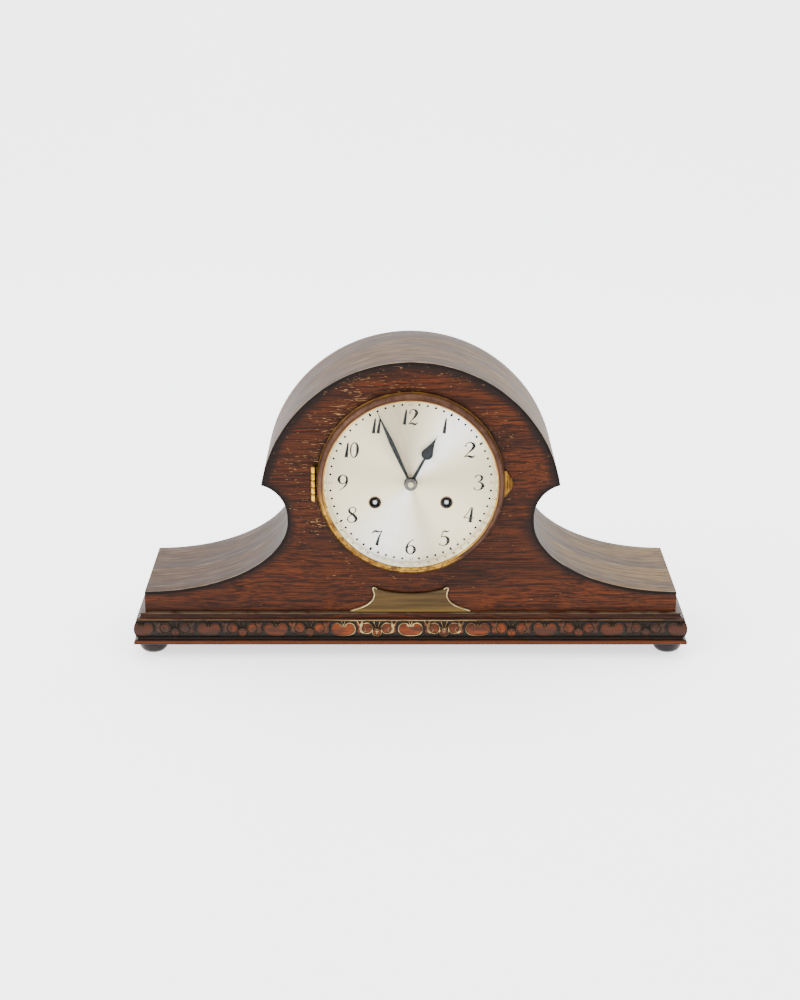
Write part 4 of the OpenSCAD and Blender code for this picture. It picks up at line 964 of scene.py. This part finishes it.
def build_bezel():
    a = np.linspace(0, math.pi / 2, 20)
    start = LIP_R + 0.9
    wide = BEZEL_R - LIP_R
    outer = [(start + (wide - 0.9) * math.cos(t), 3.8 + (BEZEL_OUT - 3.8) * math.sin(t)) for t in a]
    inner = [(start + (wide - 1.9) * math.cos(t), 3.8 + (BEZEL_OUT - 4.8) * math.sin(t)) for t in a]
    profile = [(BEZEL_R - 1, 1.1), (BEZEL_R - 0.2, 1.1), (BEZEL_R, 1.3), (BEZEL_R, 2.2),
               (BEZEL_R - 0.35, 2.45), (BEZEL_R - 0.35, 2.9), (BEZEL_R, 3.2)] + outer
    profile += [(LIP_R + 0.4, BEZEL_OUT - 0.12), (LIP_R + 0.1, BEZEL_OUT - 0.4), (LIP_R, BEZEL_OUT - 0.8),
                (LIP_R, BEZEL_OUT - 1)] + inner[::-1]
    verts, faces = grid(revolved(profile, 0, Y_FRONT, DIAL_Z, 256), close_rows=True, close_cols=True)
    add("bezel_ring_turned", verts, faces, M["bezel"], "bezel", "bezel_brass", ["bezel_ring"])


def knuckles(name, node, which, body):
    """Barrels of the bezel's hinge with rounded ends, and the plates that hold them."""
    foot = box_mm("bezel_hinge_pin")[0][2]
    cx, cy, _ = middle_mm("bezel_hinge_pin")
    parts = []
    for i in which:
        z0, z1 = foot + HINGE_STEP * i + HINGE_GAP, foot + HINGE_STEP * (i + 1) - HINGE_GAP
        tall = z1 - z0
        end = [(KNUCKLE_BORE, 0), (KNUCKLE_R - KNUCKLE_EDGE, 0), (KNUCKLE_R - 0.1, 0.12),
               (KNUCKLE_R, KNUCKLE_EDGE)]
        profile = end + [(r, tall - d) for r, d in end[::-1]]
        parts.append(grid(revolved(profile, cx, cy, z0, 40, "z"), close_rows=True, close_cols=True))
        if body == "bezel":
            edge = -math.sqrt(BEZEL_R ** 2 - max(abs(z0 - DIAL_Z), abs(z1 - DIAL_Z)) ** 2) + 0.1
            plate = [(cx + 1.2, cy - 0.8), (edge, cy - 0.8), (edge, cy + 0.8), (cx + 1.2, cy + 0.8)]
        else:
            plate = [(cx - 1.3, Y_FRONT - 1.4), (cx + 1.2, Y_FRONT - 0.7), (-BEZEL_R + 0.5, Y_FRONT - 0.7),
                     (-BEZEL_R + 0.5, Y_FRONT - 0.02), (cx - 1.3, Y_FRONT - 0.02)]
        n = len(plate)
        verts = [(x, y, z0) for x, y in plate] + [(x, y, z1) for x, y in plate]
        faces = [tuple(range(n)), tuple(range(2 * n - 1, n - 1, -1))]
        faces += [(k, (k + 1) % n, (k + 1) % n + n, k + n) for k in range(n)]
        parts.append((verts, faces))
    obj = add(name, *joined(*parts), [M["knuckle"], M["leaf"]], body, "gilt_brass", [node])
    # the plates get the dark leaf brass, painted as the shade they lie in
    for p in obj.data.polygons:
        p.material_index = 1 if len(p.vertices) == 4 and p.center.x > (cx + 1.1) * MM else 0


def build_tab():
    """Thumb tab: a bell-shaped brass grip with upright ribs."""
    low, high = box_mm("thumb_tab")
    z0 = middle_mm("thumb_tab")[2]
    half = (high[2] - low[2]) / 2
    out = high[0] - BEZEL_R - 1.4
    zs = np.linspace(-1, 1, 61)
    us = np.linspace(0, 1, 25)
    thick = 1.9

    def surface(front):
        rows = []
        for u in us:
            row = []
            for v in zs:
                reach = BEZEL_R + 1.4 + out * max(0.0, math.cos(math.pi / 2 * v)) ** 1.6
                start = math.sqrt(BEZEL_R ** 2 - (half * v) ** 2) - 0.6
                x = start + (reach - start) * u
                rib = 0.6 * max(0.0, math.cos((x - BEZEL_R) * 3.1)) * (1 - abs(v) ** 3) * (u < 0.97)
                crown = 0.9 * (1 - u * u) if front else 0.0
                y = Y_FRONT - 1.5 - (thick - 0.9 + crown + rib if front else 0.0)
                row.append((x, y, z0 + half * v))
            rows.append(row)
        return np.array(rows)

    front, back = surface(True), surface(False)
    verts, faces = joined(grid(front), grid(back))
    cols = len(zs)
    count = front.shape[0] * cols
    for j in range(cols - 1):
        last = (len(us) - 1) * cols + j
        faces.append((last, last + 1, last + 1 + count, last + count))
    add("thumb_tab_grip", verts, faces, M["tab"], "bezel", "bezel_brass", ["thumb_tab"])


# ---- dial ----

# Each figure is drawn in a box one unit high as strokes of (x, height, half width)
HAIR = 0.014
FIGURES = {
    "0": (0.50, [[(0.25, 1.0, 0.018), (0.42, 0.86, 0.040), (0.47, 0.55, 0.062), (0.43, 0.2, 0.045),
                  (0.25, 0.0, 0.018), (0.08, 0.18, 0.022), (0.03, 0.5, 0.030), (0.08, 0.83, 0.022),
                  (0.25, 1.0, 0.018)]]),
    "1": (0.20, [[(0.17, 1.0, 0.016), (0.15, 0.9, 0.030), (0.12, 0.6, 0.048), (0.09, 0.3, 0.062),
                  (0.07, 0.0, 0.072)],
                 [(0.17, 0.99, 0.014), (0.12, 0.90, 0.014), (0.07, 0.84, 0.010)]]),
    "2": (0.60, [[(0.10, 0.72, 0.045), (0.07, 0.80, 0.024), (0.12, 0.92, 0.016), (0.28, 1.0, 0.018),
                  (0.46, 0.90, 0.050), (0.50, 0.74, 0.066), (0.42, 0.55, 0.046), (0.24, 0.32, 0.020),
                  (0.05, 0.04, 0.014), (0.14, 0.09, 0.018), (0.26, 0.09, 0.044), (0.40, 0.03, 0.048),
                  (0.52, 0.05, 0.026), (0.59, 0.17, 0.012)]]),
    "3": (0.56, [[(0.13, 0.84, 0.036), (0.10, 0.90, 0.020), (0.20, 0.985, 0.014), (0.32, 0.98, 0.020),
                  (0.44, 0.86, 0.050), (0.42, 0.68, 0.040), (0.28, 0.55, 0.014), (0.22, 0.53, 0.012)],
                 [(0.22, 0.53, 0.012), (0.38, 0.50, 0.022), (0.50, 0.36, 0.056), (0.50, 0.20, 0.062),
                  (0.38, 0.03, 0.026), (0.20, 0.00, 0.014), (0.07, 0.08, 0.018), (0.08, 0.17, 0.038)]]),
    "4": (0.60, [[(0.38, 1.0, HAIR), (0.22, 0.62, HAIR), (0.02, 0.29, HAIR)],
                 [(0.02, 0.29, 0.016), (0.30, 0.29, 0.016), (0.58, 0.29, 0.020)],
                 [(0.44, 1.0, 0.030), (0.42, 0.6, 0.052), (0.39, 0.3, 0.062), (0.37, 0.02, 0.066)],
                 [(0.24, 0.012, 0.014), (0.37, 0.02, 0.020), (0.50, 0.012, 0.014)]]),
    "5": (0.58, [[(0.20, 0.97, HAIR), (0.17, 0.78, HAIR), (0.13, 0.56, HAIR)],
                 [(0.18, 0.93, 0.020), (0.30, 0.98, 0.034), (0.40, 0.93, 0.030), (0.52, 0.99, 0.012)],
                 [(0.13, 0.56, 0.012), (0.30, 0.62, 0.020), (0.46, 0.50, 0.056), (0.50, 0.30, 0.066),
                  (0.42, 0.08, 0.036), (0.24, 0.00, 0.014), (0.08, 0.06, 0.018), (0.06, 0.15, 0.038)]]),
    "6": (0.54, [[(0.42, 1.0, 0.012), (0.26, 0.88, 0.018), (0.12, 0.66, 0.036), (0.06, 0.40, 0.050),
                  (0.09, 0.15, 0.040), (0.26, 0.0, 0.016), (0.42, 0.08, 0.040), (0.49, 0.28, 0.060),
                  (0.43, 0.48, 0.044), (0.28, 0.58, 0.014), (0.12, 0.46, 0.012), (0.08, 0.36, 0.012)]]),
    "7": (0.56, [[(0.02, 0.80, 0.012), (0.08, 0.93, 0.030), (0.20, 0.98, 0.044), (0.34, 0.93, 0.034),
                  (0.50, 0.97, 0.018), (0.54, 1.0, 0.012)],
                 [(0.54, 1.0, 0.012), (0.44, 0.76, 0.026), (0.36, 0.48, 0.044), (0.31, 0.2, 0.060),
                  (0.29, 0.0, 0.068)]]),
    "8": (0.54, [[(0.28, 0.54, 0.044), (0.13, 0.68, 0.050), (0.10, 0.84, 0.036), (0.20, 0.98, 0.016),
                  (0.34, 0.99, 0.014), (0.45, 0.86, 0.026), (0.42, 0.70, 0.020), (0.28, 0.55, 0.014),
                  (0.10, 0.38, 0.016), (0.03, 0.20, 0.026), (0.12, 0.03, 0.018), (0.28, 0.0, 0.016),
                  (0.45, 0.08, 0.044), (0.48, 0.26, 0.062), (0.38, 0.44, 0.060), (0.28, 0.54, 0.044)]]),
    "9": (0.54, [[(0.12, 0.0, 0.012), (0.28, 0.12, 0.018), (0.42, 0.34, 0.036), (0.48, 0.60, 0.050),
                  (0.45, 0.85, 0.040), (0.28, 1.0, 0.016), (0.12, 0.92, 0.040), (0.05, 0.72, 0.060),
                  (0.11, 0.52, 0.044), (0.26, 0.42, 0.014), (0.42, 0.54, 0.012), (0.46, 0.64, 0.012)]]),
}
SLANT = 0.05
LETTER_GAP = 0.10


def stroke(points, height, x0, z0, y, stretch, steps=9):
    """A ribbon that follows a stroke, as wide as the stroke says."""
    line = spline(points, steps)
    p = line[:, :2] * [stretch * height, height]
    p[:, 0] += SLANT * p[:, 1]
    ahead = np.gradient(p, axis=0)
    ahead /= np.linalg.norm(ahead, axis=1)[:, None] + 1e-9
    side = np.stack([-ahead[:, 1], ahead[:, 0]], 1) * (np.maximum(line[:, 2:3] * 1.55, 0.028) * height)
    a, b = p + side, p - side
    rows = np.array([np.stack([x0 + q[:, 0], np.full(len(q), y), z0 + q[:, 1]], 1) for q in (a, b)])
    return grid(rows)


def figure_parts(text, height, x, z, y):
    """Ribbons of a number centred at x and z."""
    stretch = 1.0 if "1" in text else 1.22
    width = stretch * sum(FIGURES[c][0] for c in text) + LETTER_GAP * (len(text) - 1) + SLANT
    at = x - width * height / 2
    parts = []
    for c in text:
        w, strokes = FIGURES[c]
        for k, points in enumerate(strokes):
            parts.append(stroke(points, height, at, z - height / 2, y - 0.003 * k, stretch))
        at += (stretch * w + LETTER_GAP) * height
    return parts


def build_dial():
    y = Y_FRONT - PRINT_LIFT
    parts = []
    for hour in range(1, 13):
        a = math.radians(90 - 30 * hour)
        x, z = NUMERAL_R * math.cos(a), DIAL_Z + NUMERAL_R * math.sin(a)
        parts += figure_parts(str(hour), NUMERAL_H, x, z, y)
    add("dial_numerals", *joined(*parts), M["ink"], "case", "hand_black")
    dots = []
    for minute in range(60):
        if minute % 15 == 0:
            continue
        a = math.radians(90 - 6 * minute)
        cx, cz = DOT_R * math.cos(a), DIAL_Z + DOT_R * math.sin(a)
        long_r = HOUR_DOT_HALF if minute % 5 == 0 else DOT_HALF
        ring = [(cx + long_r * math.cos(t) * math.cos(a) - DOT_HALF * math.sin(t) * math.sin(a), y,
                 cz + long_r * math.cos(t) * math.sin(a) + DOT_HALF * math.sin(t) * math.cos(a))
                for t in np.linspace(0, 2 * math.pi, 20, endpoint=False)]
        dots.append((ring, [tuple(range(20))]))
    add("minute_dots", *joined(*dots), M["ink"], "case", "hand_black")
    faint = []
    for text, a in (("60", 90), ("15", 0), ("30", -90), ("45", 180)):
        a = math.radians(a)
        faint += figure_parts(text, 2.6, DOT_R * math.cos(a), DIAL_Z + DOT_R * math.sin(a), y)
    add("minute_figures", *joined(*faint), M["faint_ink"], "case", "hand_black")


# ---- hands ----


def minute_half(u):
    """Half width of the minute hand at a share of its length: a long leaf, widest past its middle."""
    if u < MINUTE_WIDEST:
        return 0.9 + 0.9 * math.sin(math.pi / 2 * u / MINUTE_WIDEST)
    return 1.8 * (1 - (u - MINUTE_WIDEST) / (1 - MINUTE_WIDEST))


def hour_half(u):
    """Stem, round leaf and long point."""
    d = HOUR_START + (HOUR_LEN - HOUR_START) * u
    stem = 1.5 - 0.5 * u / 0.44
    if d < LEAF_AT - LEAF_R:
        return stem
    if d < LEAF_AT + LEAF_POINT:
        return max(stem, math.sqrt(max(0.0, LEAF_R ** 2 - (d - LEAF_AT) ** 2)))
    start = math.sqrt(LEAF_R ** 2 - LEAF_POINT ** 2)
    return start * max(0.0, (HOUR_LEN - d) / (HOUR_LEN - LEAF_AT - LEAF_POINT)) ** 1.6


def hand(name, node, body, half, start, length, turn, hub_r, bore):
    """A hand with a crowned face: its middle stands proud of its edges."""
    low, high = box_mm(node)
    front, back = low[1], high[1]
    rows = []
    for i in range(HAND_STEPS + 1):
        u = i / HAND_STEPS
        w = max(half(u), 0.06)
        d = start + (length - start) * u
        crown = min(0.22, w * 0.3)
        rows.append([(-w, back, d), (-w, front + 0.28, d), (-w * 0.55, front + 0.28 - crown, d),
                     (0, front + 0.28 - crown * 1.2, d), (w * 0.55, front + 0.28 - crown, d),
                     (w, front + 0.28, d), (w, back, d)])
    blade = grid(np.array(rows), close_cols=True)
    profile = [(bore, back - front), (hub_r, back - front), (hub_r, 0.25), (hub_r - 0.25, 0.02), (bore, 0.02)]
    hub_rows = revolved([(r, back - front - d) for r, d in profile], 0, back, 0, 64)
    hub = grid(hub_rows, close_rows=True, close_cols=True)
    verts, faces = joined(blade, hub)
    v = np.array(verts)
    a = math.radians(turn)
    x = v[:, 0] * math.cos(a) - v[:, 2] * math.sin(a)
    z = v[:, 0] * math.sin(a) + v[:, 2] * math.cos(a)
    v[:, 0], v[:, 2] = x, z + DIAL_Z
    add(name, v, faces, M["hands"], body, "hand_black", [node])


def build_hands():
    hand("minute_hand_blued", "minute_hand", "centre_arbor", minute_half, MINUTE_START, MINUTE_LEN,
         MINUTE_TURN, 4.6, 1.5)
    hand("hour_hand_blued", "hour_hand", "hour_wheel", hour_half, HOUR_START, HOUR_LEN, HOUR_TURN, 5.4, 3.3)
    base = box_mm("hand_nut")[1][1]
    profile = [(0, 0), (5.2, 0), (5.25, 0.35), (5.0, 0.75), (4.5, 0.85), (4.25, 0.7), (4.05, 0.75)]
    profile += [(3.9 * math.cos(a), 0.75 + 0.95 * math.sin(a)) for a in np.linspace(0.15, math.pi / 2, 12)]
    verts, faces = grid(revolved(profile, 0, base, DIAL_Z, 72), close_cols=True)
    add("hand_nut_turned", verts, faces, M["nut"], "centre_arbor", "steel", ["hand_nut"])


# ---- back door ----


def build_door_knob():
    x, _, z = middle_mm("door_knob")
    profile = [(0, 0), (4.2, 0), (4.4, 0.3), (4.2, 0.7), (2.2, 1.5), (1.9, 2.2), (2.0, 3.2)]
    profile += [(4.9 * math.cos(a), 6.4 + 3.6 * math.sin(a)) for a in np.radians(np.linspace(-55, 90, 18))]
    shank = [(0, -3.5), (1.6, -3.5), (1.6, 0)]
    verts, faces = grid(revolved([(r, -d) for r, d in shank + profile], x, Y_BACK, z, 48), close_cols=True)
    add("door_knob_turned", verts, faces, M["gilt"], "back_door", "gilt_brass", ["door_knob"])


def build_rating_nut():
    """Knurled nut, bored a little wider than the thread it turns on."""
    low, high = box_mm("rating_nut")
    x, y, _ = middle_mm("rating_nut")
    tall, r = high[2] - low[2], (high[0] - low[0]) / 2
    profile = [(NUT_BORE, 0.1), (1.3, 0), (r - 0.5, 0), (r - 0.1, 0.4), (r - 0.1, tall - 0.4),
               (r - 0.5, tall), (1.3, tall), (NUT_BORE, tall - 0.1)]
    rows = revolved(profile, 0, 0, 0, NUT_STEPS, "z")
    turn = np.linspace(0, 2 * math.pi, NUT_STEPS, endpoint=False)
    # knurls round the middle of the rim
    rows[3:5, :, :2] *= (1 - 0.035 * (1 + np.cos(NUT_KNURLS * turn)))[:, None]
    verts, faces = grid(rows + [x, y, low[2]], close_rows=True, close_cols=True)
    add("rating_nut_knurled", verts, faces, M["brass"], "rating_nut", "movement_brass", ["rating_nut"])


def build_hinge_screws():
    """Countersunk screw heads on the leaves of the back door's hinges."""
    door_x = box_mm("door_hinge_pins")[0][0] + 0.8
    low = box_mm("door_hinge_pins")[0][2]
    high = box_mm("door_hinge_pins")[1][2]
    y = Y_BACK + 0.8
    for body, offset in (("case", -HINGE_SCREW_X), ("back_door", HINGE_SCREW_X)):
        parts = []
        for z in (low + 4, low + 17, high - 17, high - 4):
            rows = revolved([(1.7, 0.0), (1.65, -0.12), (1.2, -0.3), (0, -0.36)], door_x + offset, y, z, 24)
            parts.append(grid(rows, close_cols=True))
        add(f"hinge_screws_{body}", *joined(*parts), M["gilt"], body, "gilt_brass")


# ---- stage, in metres ----

FLOOR_HALF, WALL_TOP, COVE_R = 40.0, 6.0, 1.2
CAMERA_X, CAMERA_AHEAD, CAMERA_Z, CAMERA_DOWN = -8.46 * MM, 1552.9 * MM, 629.7 * MM, 17.81


def build_stage():
    white = plain("studio_white", srgb(240, 240, 241), srgb(243, 243, 244), 0.85, 2)
    shader = white.node_tree.nodes["Principled BSDF"]
    shader.inputs["Emission Color"].default_value = (0.97, 0.98, 1.0, 1)
    shader.inputs["Emission Strength"].default_value = 1.5
    cove = np.linspace(0.1, math.pi / 2, 14)
    ys = [-FLOOR_HALF, COVE_R, *(COVE_R + COVE_R * np.sin(cove)), 2 * COVE_R]
    zs = [0.0, 0.0, *(COVE_R * (1 - np.cos(cove))), WALL_TOP]
    verts, faces = grid(np.array([[(x, y, z) for x in (-FLOOR_HALF, FLOOR_HALF)] for y, z in zip(ys, zs)]))
    mesh = bpy.data.meshes.new("studio_floor")
    mesh.from_pydata(verts.tolist(), [], faces)
    for p in mesh.polygons:
        p.use_smooth = True
    mesh.materials.append(white)
    linked("studio_floor", mesh)


def area_light(name, place, aim, size, power, tint=(1, 1, 1)):
    data = bpy.data.lights.new(name, "AREA")
    data.shape = "RECTANGLE"
    data.size, data.size_y = size
    data.energy = power
    data.color = tint
    obj = linked(name, data)
    obj.location = place
    obj.rotation_euler = (Vector(aim) - Vector(place)).to_track_quat("-Z", "Y").to_euler()


def build_lights():
    world = bpy.data.worlds.new("studio")
    bpy.context.scene.world = world
    world.use_nodes = True
    background = world.node_tree.nodes["Background"]
    background.inputs[0].default_value = (0.98, 0.99, 1.0, 1)
    background.inputs[1].default_value = 1.5
    area_light("window_left", (-1.9, -1.2, 1.7), (0, 0, 0.1), (1.8, 1.6), 70)
    area_light("overhead", (0.3, 0.5, 2.4), (0, 0, 0.1), (2.6, 2.0), 60)
    area_light("fill_right", (2.0, -1.6, 1.2), (0, 0, 0.1), (1.4, 1.4), 24)


def build_camera():
    data = bpy.data.cameras.new("camera")
    data.lens = 74.27
    data.sensor_width = 36
    camera = linked("camera", data)
    camera.location = (CAMERA_X, Y_FRONT * MM - CAMERA_AHEAD, CAMERA_Z)
    camera.rotation_euler = (math.radians(90 - CAMERA_DOWN), 0, 0)
    bpy.context.scene.camera = camera


dress_cad()
build_case()
build_plinth()
build_feet()
build_plaque()
build_bezel()
knuckles("bezel_hinge_knuckles", "bezel_hinge_moving", (0, 2, 4), "bezel")
knuckles("bezel_hinge_bracket", "bezel_hinge_fixed", (1, 3), "case")
build_tab()
build_dial()
build_hands()
build_door_knob()
build_rating_nut()
build_hinge_screws()
build_stage()
build_lights()
build_camera()
